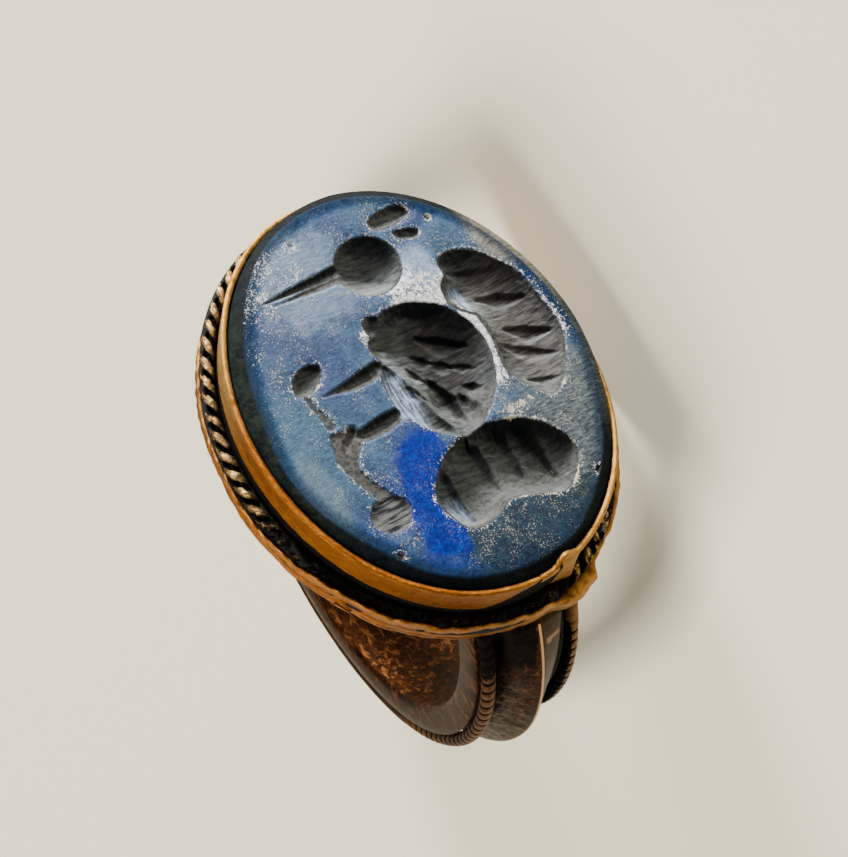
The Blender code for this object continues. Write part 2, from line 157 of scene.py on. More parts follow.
def bevel_width(turn):
    """Width of the stone's bevel: it was rubbed down unevenly."""
    degrees = [0, 8, 14, 22, 27, 62, 80, 130, 180, 208, 216, 223, 230, 255, 265, 273, 282, 291,
               300, 312, 325, 340]
    widths = [0.53, 0.48, 0.40, 0.36, 0.47, 0.56, 0.36, 0.34, 0.40, 0.46, 0.58, 0.68, 0.74, 0.75,
              0.69, 0.48, 0.35, 0.36, 0.55, 0.62, 0.44, 0.47]
    shifts = (-4, -2, 0, 2, 4)
    around = [np.interp(np.degrees(turn) + shift, degrees, widths, period=360) for shift in shifts]
    return sum(around) / len(shifts)


def smooth_outline(corners):
    """A closed curve through the corners."""
    corners = np.array(corners, float)
    before, after = np.roll(corners, 1, 0), np.roll(corners, -1, 0)
    beyond = np.roll(corners, -2, 0)
    points = []
    for share in np.linspace(0, 1, 8, endpoint=False):
        points.append(
            0.5 * (2 * corners + (after - before) * share
                   + (2 * before - 5 * corners + 4 * after - beyond) * share ** 2
                   + (3 * corners - before - 3 * after + beyond) * share ** 3)
        )
    return np.stack(points, 1).reshape(-1, 2)


def oval_outline(middle, halves, lean=0):
    angles = full_turn(72)
    across, up = halves[0] * np.cos(angles), halves[1] * np.sin(angles)
    lean = math.radians(lean)
    return np.stack([
        middle[0] + across * math.cos(lean) - up * math.sin(lean),
        middle[1] + across * math.sin(lean) + up * math.cos(lean),
    ], 1)


def depth_inside(places, outline):
    """How far each place is inside a closed outline, negative outside."""
    run = np.roll(outline, -1, 0) - outline
    away = places[:, None] - outline[None]
    share = np.clip((away * run).sum(2) / (run ** 2).sum(1), 0, 1)
    nearest = np.sqrt(((away - share[..., None] * run) ** 2).sum(2).min(1))
    height = places[:, None, 1]
    crosses = (outline[:, 1] > height) != (outline[:, 1] + run[:, 1] > height)
    climb = np.where(run[:, 1] == 0, 1e-9, run[:, 1])
    at = outline[:, 0] + (height - outline[:, 1]) / climb * run[:, 0]
    inside = (crosses & (places[:, None, 0] < at)).sum(1) % 2 == 1
    return np.where(inside, nearest, -nearest)


class Engraving:
    """The depth cut below each place of the face, and how near it is to a cut's lip."""

    def __init__(self, places):
        self.places = places
        self.ragged = ripple(np.c_[places, places[:, :1] * 0], 0.16)
        self.depth = np.zeros(len(places))
        self.lip = np.zeros(len(places))
        self.shoulder = np.zeros(len(places))

    def near(self, outline, margin):
        low, high = outline.min(0) - margin, outline.max(0) + margin
        return np.nonzero(((self.places > low) & (self.places < high)).all(1))[0]

    def scoop(self, outline, depth, reach, steep=0.0, ragged=0.03):
        """A hollow like a ball's cap. steep makes its upper side in the picture a sharper wall."""
        if isinstance(outline, list):
            outline = smooth_outline(outline)
        chosen = self.near(outline, 0.4)
        places = self.places[chosen]
        inside = depth_inside(places, outline) + ragged * self.ragged[chosen]
        half = (outline.max(0) - outline.min(0)).max() / 2
        up = (places - outline.mean(0)) @ np.array((-0.30, 0.95)) / half
        run = np.clip(inside * (1 + steep * np.clip(up, -1, 1)), 0, reach)
        radius = (reach ** 2 + depth ** 2) / (2 * depth)
        cap = np.sqrt(radius ** 2 - (reach - run) ** 2) - (radius - depth)
        self.deepen(chosen, np.where(inside > 0, cap, 0), np.exp(-(inside / 0.10) ** 2))
        shoulder = np.exp(-(inside / 0.24) ** 2)
        self.shoulder[chosen] = np.maximum(self.shoulder[chosen], shoulder)

    def deepen(self, chosen, cut, lip):
        self.depth[chosen] = np.maximum(self.depth[chosen], cut)
        self.lip[chosen] = np.maximum(self.lip[chosen], lip)

    def line(self, points, widths, depths, wall):
        """A wheel-cut line through points, whose wall on the +A or -T side is the steeper one."""
        points = np.array(points, float)
        chosen = self.near(points, 0.9)
        places = self.places[chosen]
        edge = np.full(len(places), 9.0)
        cut = np.zeros(len(places))
        for i, (start, end) in enumerate(zip(points, points[1:])):
            run = end - start
            share = np.clip(((places - start) @ run) / (run @ run), 0, 1)
            side = np.array((-run[1], run[0])) / np.hypot(*run)
            if side @ np.array((-0.5, 0.85)) < 0:
                side = -side
            away = places - start - share[:, None] * run
            gap = np.hypot(away[:, 0], away[:, 1])
            along = (i + share) / (len(points) - 1)
            half = np.interp(along, np.linspace(0, 1, len(widths)), widths)
            deep = np.interp(along, np.linspace(0, 1, len(depths)), depths)
            leaning = np.where(away @ side > 0, half * wall, half)
            inside = np.clip(1 - gap / leaning, 0, 1)
            cut = np.maximum(cut, deep * np.sin(inside * math.pi / 2) ** 1.2)
            edge = np.minimum(edge, np.abs(gap - leaning))
        return chosen, cut, edge

    def groove(self, points, widths, depths, wall=0.45):
        chosen, cut, edge = self.line(points, widths, depths, wall)
        cut = cut * (1 + 0.15 * self.ragged[chosen])
        self.deepen(chosen, cut, np.exp(-(edge / 0.08) ** 2) * 0.8)

    def feather(self, points, width, depth, taper=(0.35, 1.0, 0.30)):
        """A cut in a scoop's own floor, steep on its upper side in the picture."""
        taper = np.array(taper)
        chosen, cut, _ = self.line(points, width * taper, depth * 1.2 * (0.3 + 0.7 * taper), 0.42)
        self.depth[chosen] += cut * rise(self.depth[chosen], 0.05, 0.35)


steps = np.linspace(-1, 1, FACE_STEPS + 1)
over, up = np.meshgrid(steps, steps, indexing="ij")
disc = np.stack([over * np.sqrt(1 - up ** 2 / 2), up * np.sqrt(1 - over ** 2 / 2)], -1)
disc = disc.reshape(-1, 2)
disc_turn = np.arctan2(disc[:, 1], disc[:, 0])
share_out = np.hypot(disc[:, 0], disc[:, 1])
inset = bevel_width(disc_turn)
face_places = np.stack([
    share_out * (STONE_LENGTH / 2 - inset) * np.cos(disc_turn),
    share_out * (STONE_WIDTH / 2 - inset) * np.sin(disc_turn),
], 1)
cutting = Engraving(face_places)
# The head with its two crest scoops, and the long open beak.
cutting.scoop(oval_outline((-5.26, 0.58), (1.38, 1.42)), 0.88, 1.40, 0.10, 0.015)
cutting.scoop([(-7.02, 1.55), (-6.55, 1.62), (-6.42, 2.4), (-6.62, 3.25), (-7.0, 3.35),
               (-7.28, 2.9), (-7.25, 2.1)], 0.30, 0.42, 0.3)
cutting.scoop([(-6.2, 2.25), (-5.82, 2.35), (-5.6, 2.9), (-5.72, 3.3), (-5.98, 3.2),
               (-6.16, 2.75)], 0.24, 0.28, 0.3)
cutting.scoop(oval_outline((-6.18, 3.94), (0.15, 0.13)), 0.12, 0.14)
cutting.groove([(-5.72, -0.35), (-5.66, -1.6), (-5.60, -2.9), (-5.52, -4.2)],
               (0.42, 0.34, 0.22, 0.05), (0.46, 0.36, 0.20, 0.03))
cutting.groove([(-5.30, -0.72), (-5.28, -2.0), (-5.26, -3.70)],
               (0.36, 0.26, 0.06), (0.14, 0.13, 0.03), 0.7)
# The body, with its breast, and the cuts of its feathers.
cutting.scoop([
    (-3.31, 0.30), (-3.20, 1.25), (-2.62, 2.24), (-1.93, 2.79), (-1.03, 3.16), (0.16, 3.14),
    (1.51, 2.52), (2.55, 1.35), (2.94, 0.42), (2.60, 0.05), (2.15, -0.12), (1.42, -0.40),
    (0.52, -0.62), (-0.40, -0.82), (-1.15, -1.10), (-2.05, -1.30), (-2.75, -0.80),
    (-3.15, -0.25)], 1.02, 1.80, 0.45)
cutting.scoop([
    (-1.30, -1.20), (-0.50, -1.54), (0.48, -1.58), (1.35, -1.24), (2.21, -0.60), (2.62, 0.00),
    (2.20, 0.28), (1.42, -0.12), (0.52, -0.34), (-0.36, -0.50), (-1.02, -0.72)],
    0.40, 0.48, 0.2, 0.02)
cutting.scoop(oval_outline((-2.70, -0.55), (0.62, 0.50), 20), 0.34, 0.5, 0.2)
for path, width, depth in (
        ([(-2.95, 0.75), (-2.55, 1.6), (-2.35, 2.3)], 0.70, 0.12),
        ([(-1.99, 1.07), (-1.40, 1.79), (-0.82, 2.62)], 0.62, 0.24),
        ([(-1.36, 0.47), (-1.05, 0.75), (-0.84, 1.02)], 0.46, 0.18),
        ([(-0.75, 1.15), (-0.55, 1.40), (-0.33, 1.70)], 0.46, 0.18),
        ([(-0.38, 1.69), (-0.10, 2.10), (0.19, 2.48)], 0.32, 0.10),
        ([(-0.85, -0.04), (-0.50, 0.12), (-0.19, 0.35)], 0.40, 0.18),
        ([(0.00, 0.62), (1.00, 0.84), (1.95, 1.05)], 0.95, 0.40),
        ([(0.63, 1.76), (0.85, 2.0), (1.04, 2.23)], 0.44, 0.18),
        ([(0.00, -0.58), (0.35, -0.40), (0.72, -0.16)], 0.40, 0.17)):
    cutting.feather(path, width, depth)
cutting.feather([(1.10, 1.44), (1.75, 1.44), (2.38, 1.42)], 0.80, 0.34, (0.4, 1.0, 0.7))
cutting.groove([(-0.94, -1.34), (-0.05, -1.46), (0.71, -1.36), (1.43, -1.05), (2.11, -0.53)],
               (0.10, 0.14, 0.14, 0.14, 0.08), (0.06, 0.11, 0.11, 0.11, 0.05), 0.8)
# The raised wing.
cutting.scoop([
    (-4.39, 3.28), (-4.52, 4.02), (-4.15, 4.85), (-3.40, 5.50), (-2.47, 6.10), (-0.78, 6.36),
    (0.44, 6.36), (1.42, 5.91), (2.31, 5.27), (2.73, 4.64), (2.64, 4.23), (1.94, 3.64),
    (1.15, 3.28), (0.24, 3.36), (-0.63, 3.55), (-1.53, 3.47), (-2.08, 3.01), (-2.63, 2.64),
    (-3.27, 2.73), (-3.63, 3.12), (-4.0, 3.12)], 0.80, 1.35, 0.35)
for path, width, depth in (
        ([(-3.80, 3.50), (-3.35, 4.60), (-3.14, 5.60)], 0.66, 0.18),
        ([(-2.36, 4.18), (-2.05, 5.00), (-1.68, 5.85)], 0.62, 0.24),
        ([(-0.72, 4.55), (-0.30, 5.30), (0.10, 6.05)], 0.62, 0.24),
        ([(-0.04, 4.00), (0.50, 4.90), (1.08, 5.75)], 0.56, 0.16),
        ([(1.65, 4.10), (1.90, 4.70), (2.12, 5.30)], 0.44, 0.13)):
    cutting.feather(path, width, depth)
cutting.groove([(-3.49, 3.06), (-3.14, 2.80), (-2.43, 2.70), (-1.96, 2.98), (-1.57, 3.44),
                (-0.92, 3.52), (-0.26, 3.50), (0.43, 3.36), (1.54, 3.22), (2.53, 3.60)],
               (0.10, 0.15, 0.15, 0.14, 0.14, 0.14, 0.14, 0.14, 0.12, 0.06),
               (0.08, 0.12, 0.12, 0.10, 0.10, 0.10, 0.10, 0.08, 0.06, 0.02), 0.8)
# The spread tail.
cutting.scoop([
    (4.03, -1.89), (3.25, -1.10), (2.80, -0.17), (2.60, 1.02), (3.02, 2.59), (3.73, 3.52),
    (4.84, 4.10), (5.78, 3.71), (6.45, 2.81), (6.15, 1.72), (5.80, 0.56), (6.10, -0.09),
    (6.30, -0.88), (6.08, -1.62), (5.30, -2.05), (4.61, -2.14)], 0.86, 1.35, 0.40)
for path, width, depth in (
        ([(3.95, -1.35), (4.9, -1.20), (5.8, -1.05)], 0.90, 0.26),
        ([(3.45, 0.40), (4.3, 0.50), (5.15, 0.60)], 0.95, 0.26),
        ([(3.35, 1.70), (4.2, 1.75), (5.00, 1.78)], 1.00, 0.36),
        ([(3.45, 2.50), (4.5, 2.78), (5.5, 3.00)], 1.05, 0.38)):
    cutting.feather(path, width, depth, (1.0, 0.8, 0.2))
# The legs, the round mark, the winding line and the hatched mark at its end.
cutting.groove([(-1.35, -1.35), (-1.25, -1.9), (-1.12, -2.7), (-1.05, -3.9)],
               (0.48, 0.56, 0.42, 0.06), (0.30, 0.40, 0.24, 0.03), 0.36)
cutting.groove([(0.72, -1.65), (0.78, -2.3), (0.88, -3.1), (0.95, -4.0)],
               (0.52, 0.60, 0.52, 0.22), (0.30, 0.40, 0.28, 0.10), 0.36)
cutting.groove([(0.75, -3.60), (1.05, -3.95), (1.45, -4.35)],
               (0.34, 0.40, 0.25), (0.22, 0.24, 0.10), 0.8)
cutting.scoop([
    (-2.21, -3.34), (-2.50, -3.75), (-2.39, -4.31), (-2.03, -4.73), (-1.49, -4.77),
    (-1.36, -4.21), (-1.71, -3.62)], 0.32, 0.40, 0.2)
cutting.scoop([
    (-1.55, -4.62), (-0.98, -4.58), (-0.50, -4.50), (0.29, -4.36), (0.16, -4.02),
    (-0.65, -4.22), (-1.25, -4.35)], 0.08, 0.12, 0.0, 0.09)
cutting.scoop([
    (0.45, -4.40), (1.22, -4.68), (1.85, -4.74), (2.49, -4.55), (3.21, -4.27), (3.70, -4.05),
    (3.80, -3.45), (3.12, -3.72), (2.61, -3.98), (1.99, -4.04), (1.54, -3.72), (1.35, -3.50),
    (0.69, -3.72)], 0.11, 0.14, 0.0, 0.08)
cutting.scoop([
    (3.91, -4.67), (3.54, -4.24), (3.56, -3.57), (4.08, -3.10), (4.62, -3.20), (5.02, -3.68),
    (4.98, -4.37), (4.49, -4.77)], 0.17, 0.25, 0.0, 0.05)
# Chips at the edge of the face.
for middle, halves, lean, depth, reach in (
        ((6.02, -4.55), (0.30, 0.16), -25, 0.14, 0.16),
        ((6.42, 4.45), (0.34, 0.22), 30, 0.16, 0.20),
        ((-7.35, -1.75), (0.18, 0.12), 30, 0.06, 0.12)):
    cutting.scoop(oval_outline(middle, halves, lean), depth, reach)

face_points = np.c_[face_places, np.full(len(face_places), FACE)]
cutting.lip *= 1 - rise(cutting.depth, 0.05, 0.18)
cutting.shoulder *= 1 - rise(cutting.depth, 0.02, 0.10)
waves = ripple(face_points, 3.2, 4.0) * 0.024 + ripple(face_points, 0.9, 9.0) * 0.007
waves += ripple(face_points, 0.13, 3.0) * 0.0035 + 0.035 * cutting.shoulder
floor_waves = ripple(face_points, 0.35, 2.0) * 0.030
floor_waves += ripple(face_points * (1, 0.12, 1), 0.12, 5.0) * 0.014
waves += floor_waves * rise(cutting.depth, 0.08, 0.4)
sunk = cutting.depth + WORN_DOME * share_out ** 2
face_points[:, 2] -= sunk + waves * rise(1 - share_out, 0.0, 0.04)

grid = np.arange((FACE_STEPS + 1) ** 2).reshape(FACE_STEPS + 1, FACE_STEPS + 1)
border = np.concatenate([grid[:-1, 0], grid[-1, :-1], grid[:0:-1, -1], grid[0, :0:-1]])
turn = disc_turn[border]
hang = 0.14 * worn_side(turn) ** 2
side_points, side_marks = [], []
for i, share in enumerate(np.linspace(0.08, 1, BEVEL_ROWS)):
    drop = BEVEL_DROP * (math.hypot(share, 0.22) - 0.22) / (math.hypot(1, 0.22) - 0.22)
    out = -bevel_width(turn) * (1 - share) - GAP * share + hang * share ** 2
    row = oval(out, turn, FACE - WORN_DOME - drop)
    chips = np.maximum(ripple(row, 0.28, 5.0) - 0.15, 0)
    row[:, 2] -= 0.05 * chips * math.sin(math.pi * (i + 1) / (BEVEL_ROWS + 1))
    side_points.append(row)
    side_marks.append(rise(share, 0.0, 0.5))
worn_level = RIM - WORN_DROP * worn_side(turn)
slope = COLLET_TAPER / COLLET_HEIGHT
for out, level in (
        (hang - GAP, np.minimum(worn_level * 0.6 + RIM * 0.4, RIM - 0.16)),
        (hang * 0.2 - GAP - slope * 0.7, np.minimum(worn_level - 0.02, RIM - 0.30)),
        (-GAP - slope * 1.6, RIM - 1.6),
        (-COLLET_TAPER - GAP, PLATE_TOP + GAP)):
    side_points.append(oval(out, turn, level))
    side_marks.append(1.0)
faces = skin(FACE_STEPS + 1, FACE_STEPS + 1, around=False)
around = np.arange(len(border))
following = np.roll(around, -1)
previous = border
for i in range(len(side_points)):
    current = len(face_points) + i * len(border) + around
    strip = (previous, previous[following], current[following], current)
    faces += np.stack(strip, 1).tolist()
    previous = current
faces.append(previous.tolist())
side_marks = np.repeat(side_marks, len(border))
uncut = np.zeros(len(side_marks))
face_bevel = rise(share_out, 0.90 - 0.03 * hump(disc_turn, 270, 80), 1.0)
gem_marks = {
    "cut": np.concatenate([cutting.depth, uncut]),
    "lip": np.concatenate([cutting.lip, uncut]),
    "shoulder": np.concatenate([cutting.shoulder, uncut]),
    "bevel": np.concatenate([face_bevel * 0.40, 0.40 + 0.60 * side_marks]),
}


def colour(red, green, blue):
    """A colour seen on a screen, from 0 to 255, as the shader's own light values."""
    values = [part / 255 for part in (red, green, blue)]
    return (*[v / 12.92 if v <= 0.04045 else ((v + 0.055) / 1.055) ** 2.4 for v in values], 1)


def feed(node, sockets):
    """Sets the sockets of a node to values, or links them."""
    for name, value in sockets.items():
        if isinstance(value, Shade):
            value.tree.links.new(value.socket, node.inputs[name])
        else:
            node.inputs[name].default_value = value


class Shade:
    """A value in a material's nodes. Sums and products of such values add Math nodes."""

    def __init__(self, tree, socket=None):
        self.tree = tree
        self.socket = socket

    def node(self, kind, settings, sockets, output=0):
        """Adds a node: its settings first, then the values or links of its sockets."""
        made = self.tree.nodes.new(kind)
        for name, value in settings.items():
            setattr(made, name, value)
        feed(made, sockets)
        return Shade(self.tree, made.outputs[output])

    def math(self, operation, first, second):
        return self.node("ShaderNodeMath", {"operation": operation}, {0: first, 1: second})

    def __add__(self, other):
        return self.math("ADD", self, other)

    __radd__ = __add__

    def __mul__(self, other):
        return self.math("MULTIPLY", self, other)

    __rmul__ = __mul__

    def __sub__(self, other):
        return self.math("SUBTRACT", self, other)

    def __rsub__(self, other):
        return self.math("SUBTRACT", other, self)

    def rise(self, low=0.0, high=1.0):
        """0 at low, smoothly up to 1 at high."""
        return self.node("ShaderNodeMapRange", {"interpolation_type": "SMOOTHSTEP"},
                         {"Value": self, "From Min": low, "From Max": high})

    def mix(self, first, second):
        """The first colour where this value is 0, and the second where it is 1."""
        return self.node("ShaderNodeMix", {"data_type": "RGBA"}, {0: self, 6: first, 7: second}, 2)

    def tones(self, low, high, dark, light):
        """A dark colour where this value is low, and a light one where it is high."""
        return self.rise(low, high).mix(colour(*dark), colour(*light))

    def mark(self, name, output="Fac"):
        return self.node("ShaderNodeAttribute", {"attribute_name": name}, {}, output)

    def vector(self, operation, second, output=0):
        settings = {"operation": operation}
        return self.node("ShaderNodeVectorMath", settings, {0: self, 1: second}, output)

    def squeezed(self, *shares):
        """This place with its axes squeezed, so that noise on it turns into streaks."""
        return self.vector("MULTIPLY", shares)

    def mottle(self, scale, detail, roughness, distortion=0.0):
        """Cloudy noise at this place, from 0 to 1, with a number of bumps to the millimetre."""
        return self.node("ShaderNodeTexNoise", {}, {
            "Vector": self, "Scale": scale, "Detail": detail, "Roughness": roughness,
            "Distortion": distortion})

    def spot(self, along, across, half_along, half_across, ragged=0.45):
        """1 in a patch round a place, with an edge broken up by noise, and 0 outside."""
        away = self.vector("SUBTRACT", (along, across, 0)).squeezed(
            1 / half_along, 1 / half_across, 0).vector("LENGTH", (0, 0, 0), "Value")
        return 1 - (away + (self.mottle(1.3, 4.0, 0.65) - 0.5) * 2 * ragged).rise(0.55, 1.25)

    def spots(self, *rows):
        """Patches added up, each given as its place, halves, raggedness and strength."""
        return sum(self.spot(*patch) * strength for *patch, strength in rows)

    def bumps(self, strength, distance):
        """The normal of a surface with this value as its relief."""
        sockets = {"Strength": strength, "Distance": distance, "Height": self}
        return self.node("ShaderNodeBump", {}, sockets, "Normal")


def layered(under, *layers):
    """A colour with others laid over it in turn, each given as its share and its colour."""
    for share, tint in layers:
        under = share.mix(under, tint)
    return under


def finish(name):
    """A new material, its shader node, and a first value on its nodes."""
    made = bpy.data.materials.new(name)
    made.use_nodes = True
    return made, made.node_tree.nodes["Principled BSDF"], Shade(made.node_tree)


lapis, polished, shade = finish("worn lapis lazuli")
place = shade.mark("ring", "Vector")
cut, lip, bevel = shade.mark("cut"), shade.mark("lip"), shade.mark("bevel")
shoulder, upper_wall = shade.mark("shoulder"), shade.mark("upper_wall")
patch = place.mottle(1.1, 4.0, 0.62, 0.3)
grain = place.mottle(5.5, 5.0, 0.72)
fine = place.mottle(14.0, 3.0, 0.7)
specks = place.mottle(15.0, 2.0, 0.6)
sparkle = place.mottle(7.0, 4.0, 0.85)
rubbings = place.squeezed(6.0, 1.6, 1.0).mottle(1.6, 5.0, 0.72, 0.4)
streaks = place.squeezed(9.0, 1.4, 1.0).mottle(0.9, 4.0, 0.65, 0.3)
hatching = place.squeezed(9.0, 0.9, 1.0).mottle(1.3, 2.0, 0.5, 0.3)
brushed = place.squeezed(1.3, 9.0, 1.0).mottle(1.4, 3.0, 0.6)
scratches = place.squeezed(1.0, 7.0, 1.0).mottle(2.6, 4.0, 0.75, 0.3)
# The face: clouded blue, with veins and stains of other minerals, and pale flecks.
teal = place.spot(5.2, 5.2, 5.4, 3.2) * 0.85
dark_foot = place.spot(7.0, 0.6, 2.0, 3.6, 0.6) * 0.8
stain = place.spot(-5.1, 5.9, 2.4, 0.9, 0.35) * 0.85
blue = place.spots(
    (3.0, -1.6, 1.5, 1.2, 0.4, 1.0), (5.2, -2.5, 1.6, 0.9, 0.4, 0.9),
    (4.4, -2.6, 2.2, 1.5, 0.5, 0.45), (7.2, -3.0, 1.5, 1.2, 0.5, 0.42)).rise()
flecks = (specks * 0.5 + place.mottle(1.0, 3.0, 0.6) * 0.30
          + place.spot(6.4, 0.6, 2.6, 3.6, 0.5) * 0.012).rise(0.462, 0.500)
# Scuffed places with painted glints: white sparkles along the scoops' lips and in patches.
scuffs_and_glints = (shoulder * 0.55 + place.spots(
    (-3.5, 1.85, 1.05, 1.4, 0.5, 0.80), (-2.55, -0.95, 0.40, 0.65, 0.4, 0.55),
    (-1.1, 3.15, 1.6, 0.40, 0.4, 0.85), (1.0, 2.95, 1.3, 0.35, 0.4, 0.45),
    (-6.4, -2.9, 1.4, 1.3, 0.5, 0.55), (-5.3, -4.3, 1.3, 0.9, 0.5, 0.5),
    (-0.5, 6.7, 2.6, 0.5, 0.5, 0.25), (-3.0, -5.4, 2.6, 0.5, 0.5, 0.35))
    + (specks - 0.5) * 1.6 + (sparkle - 0.5) * 2.2 + (patch - 0.5) * 0.8).rise(0.62, 1.02)
stone_colour = layered(
    place.mottle(0.42, 4.0, 0.6, 0.4).tones(0.36, 0.64, (10, 42, 90), (42, 74, 104)),
    (patch.rise(0.44, 0.66) * 0.75, colour(18, 46, 76)),
    (rubbings.rise(0.46, 0.70) * 0.55, colour(62, 92, 124)),
    ((1 - grain.rise(0.32, 0.54)) * 0.65, colour(8, 20, 46)),
    (place.spots((5.4, -4.9, 2.2, 0.9, 0.6, 0.7), (4.7, -1.9, 1.6, 1.4, 0.6, 0.3)),
     grain.tones(0.35, 0.7, (2, 26, 76), (14, 56, 108))),
    (place.spot(0.6, -5.2, 3.4, 1.3, 0.6) * 0.5,
     rubbings.tones(0.3, 0.7, (18, 56, 80), (54, 90, 110))),
    (teal, rubbings.tones(0.35, 0.7, (30, 40, 42), (98, 106, 106))),
    (dark_foot, grain.tones(0.35, 0.7, (3, 16, 24), (22, 44, 50))),
    (place.spot(2.6, -5.9, 2.2, 0.75) * 0.4,
     grain.tones(0.3, 0.7, (66, 88, 98), (106, 122, 130))),
    (blue, grain.tones(0.35, 0.7, (0, 12, 92), (0, 44, 140))),
    (stain, rubbings.tones(0.3, 0.7, (62, 60, 52), (140, 138, 126))),
    # A painted sheen: paler grey-blue over the face's upper left.
    (place.spot(-5.8, -2.2, 2.4, 2.2, 0.6) * 0.4,
     rubbings.tones(0.3, 0.7, (74, 102, 132), (148, 168, 186))),
    (flecks * (0.62 - blue * 0.45), fine.tones(0.35, 0.65, (104, 106, 98), (182, 176, 154))),
    # Painted shade: darker blue on the face as it rolls into the bevel.
    (bevel.rise(0.16, 0.44) * 0.8, grain.tones(0.3, 0.7, (2, 11, 26), (12, 34, 58))),
    # A painted sheen: pale silvery blue between the head, the body and the wing.
    (place.spot(-4.2, 2.4, 1.2, 0.9, 0.5) * 0.55,
     grain.tones(0.3, 0.7, (92, 124, 168), (168, 188, 214))),
    # Scuffs and painted glints, white, kept out of the cuts.
    (scuffs_and_glints * (1 - cut.rise(0.02, 0.12) * 0.8) * 0.9,
     sparkle.tones(0.40, 0.62, (132, 146, 160), (246, 244, 238))),
)
# The cuts: dull grey floors with streaks, painted shade on upper walls, painted light on lower
# ones.
in_cut = cut.rise(0.02, 0.09)
wing = place.spot(-1.0, 5.0, 3.6, 1.5, 0.3)
tawny = place.spots(
    (1.9, 1.7, 1.2, 1.2, 0.4, 1.0), (5.2, 1.3, 1.2, 2.9, 0.5, 0.85)).rise()
# Patches where the painted light on the cuts' lower walls is strongest.
lit_wall_patches = place.spots(
    (-5.2, 0.4, 1.6, 1.6, 0.0, 1.0), (-1.4, -0.3, 1.6, 0.8, 0.3, 1.0),
    (-1.9, 3.6, 1.2, 0.7, 0.3, 1.0)).rise()
# Painted light: paler grey on the cuts' walls that face the light.
lit_wall_paint = (0 - upper_wall).rise(0.10, 0.70) * (0.45 + lit_wall_patches * 0.55) * (1 - tawny * 0.75)
# Bared stone: pale blue streaks, partly painted light on walls that face the light.
bared_and_lit = place.spots(
    (0.6, -1.05, 1.9, 0.50, 0.2, 1.0), (-2.5, 3.3, 0.75, 0.36, 0.2, 1.0),
    (5.2, -1.35, 0.72, 0.42, 0.25, 1.0))
# How dark the painted shade on the upper walls is: less on the wing and in the tail.
wall_shade = 0.92 - wing * 0.50 - place.spot(4.6, 1.2, 1.3, 2.4, 0.3) * 0.25
shallow = place.spot(4.3, -3.95, 0.95, 0.95, 0.0).mix(
    grain.tones(0.3, 0.7, (32, 33, 33), (84, 82, 78)),
    hatching.tones(0.40, 0.62, (26, 29, 32), (96, 96, 94)))
floor_colour = layered(
    streaks.tones(0.25, 0.78, (30, 35, 35), (84, 86, 84)),
    (wing * 0.7, streaks.tones(0.25, 0.80, (46, 45, 42), (112, 108, 102))),
    (place.spot(-0.9, 1.7, 2.0, 1.5, 0.3) * 0.75,
     streaks.tones(0.25, 0.80, (22, 21, 20), (66, 61, 55))),
    (tawny * 0.7, grain.tones(0.3, 0.7, (48, 48, 46), (92, 92, 88))),
    (lit_wall_paint, streaks.tones(0.25, 0.75, (80, 86, 86), (122, 128, 128))),
    (1 - cut.rise(0.16, 0.30), shallow),
    (bared_and_lit * brushed.rise(0.35, 0.65) * 0.9, colour(144, 166, 198)),
    # Painted shade: near black on the cuts' walls that face away from the light.
    (upper_wall.rise(0.25, 0.90) * wall_shade, colour(4, 10, 11)),
)
crust = (lip * 0.62 + place.spots(
    (2.66, 2.75, 0.42, 1.0, 0.5, 0.8), (5.9, 2.3, 0.7, 1.9, 0.7, 0.35))
    + (fine - 0.5) * 1.5 + (place.mottle(1.4, 3.0, 0.6) - 0.5) * 2.6).rise(0.84, 1.02)
# The bevel: nearly black, greenish at the left, and stained brown and grey at the upper right.
green_edge = place.spot(-1.0, -7.0, 6.5, 2.6, 0.3)
edge_colour = layered(
    (grain * 0.5 + patch * 0.5).rise(0.42, 0.60).mix(
        colour(1, 4, 5), green_edge.mix(colour(13, 20, 22), colour(24, 32, 26))),
    (place.spot(-4.6, 6.8, 3.8, 1.7, 0.3) * 0.8,
     rubbings.tones(0.3, 0.7, (52, 50, 44), (122, 118, 106))),
    (place.spot(2.2, 6.8, 3.6, 1.4, 0.4) * 0.8,
     rubbings.tones(0.3, 0.7, (18, 27, 33), (70, 74, 74))),
)
on_edge = bevel + green_edge * 0.12 + (patch - 0.5) * 0.45 + (grain - 0.5) * 0.25
stone_colour = layered(
    stone_colour,
    (in_cut * 0.95, floor_colour),
    (crust * 0.75, colour(190, 184, 164)),
    (on_edge.rise(0.50, 0.84) * 0.97, edge_colour),
)
relief = (fine * 0.6 + scratches * 0.5 + grain * 0.5 + cut.rise(0.05, 0.2) * grain * 0.8
          + scuffs_and_glints * sparkle * 1.5).bumps(0.8, 0.00005)
feed(polished, {
    "Base Color": stone_colour,
    "Roughness": 0.22 + grain * 0.22 + patch * 0.08,
    "Normal": relief,
    "IOR": 1.55,
    "Specular IOR Level": 0.20,
})
dull = shade.node("ShaderNodeBsdfPrincipled", {}, {
    "Base Color": stone_colour, "Roughness": 0.7, "Normal": relief, "Specular IOR Level": 0.06})
dullness = (in_cut * (0.9 - bared_and_lit * 0.5) + bevel.rise(0.08, 0.42) * 1.1 + teal * 0.35
            + dark_foot * 0.5 + stain * 0.4 + blue * 0.6 + (patch - 0.5) * 0.6 + 0.2)
worn = shade.node("ShaderNodeMixShader", {}, {
    0: dullness.rise(), 1: Shade(shade.tree, polished.outputs[0]), 2: dull})
feed(lapis.node_tree.nodes["Material Output"], {"Surface": worn})

gem_points = np.concatenate([face_points] + side_points)
gem = new_piece("engraved_gem", gem_points, faces, lapis, gem_marks)
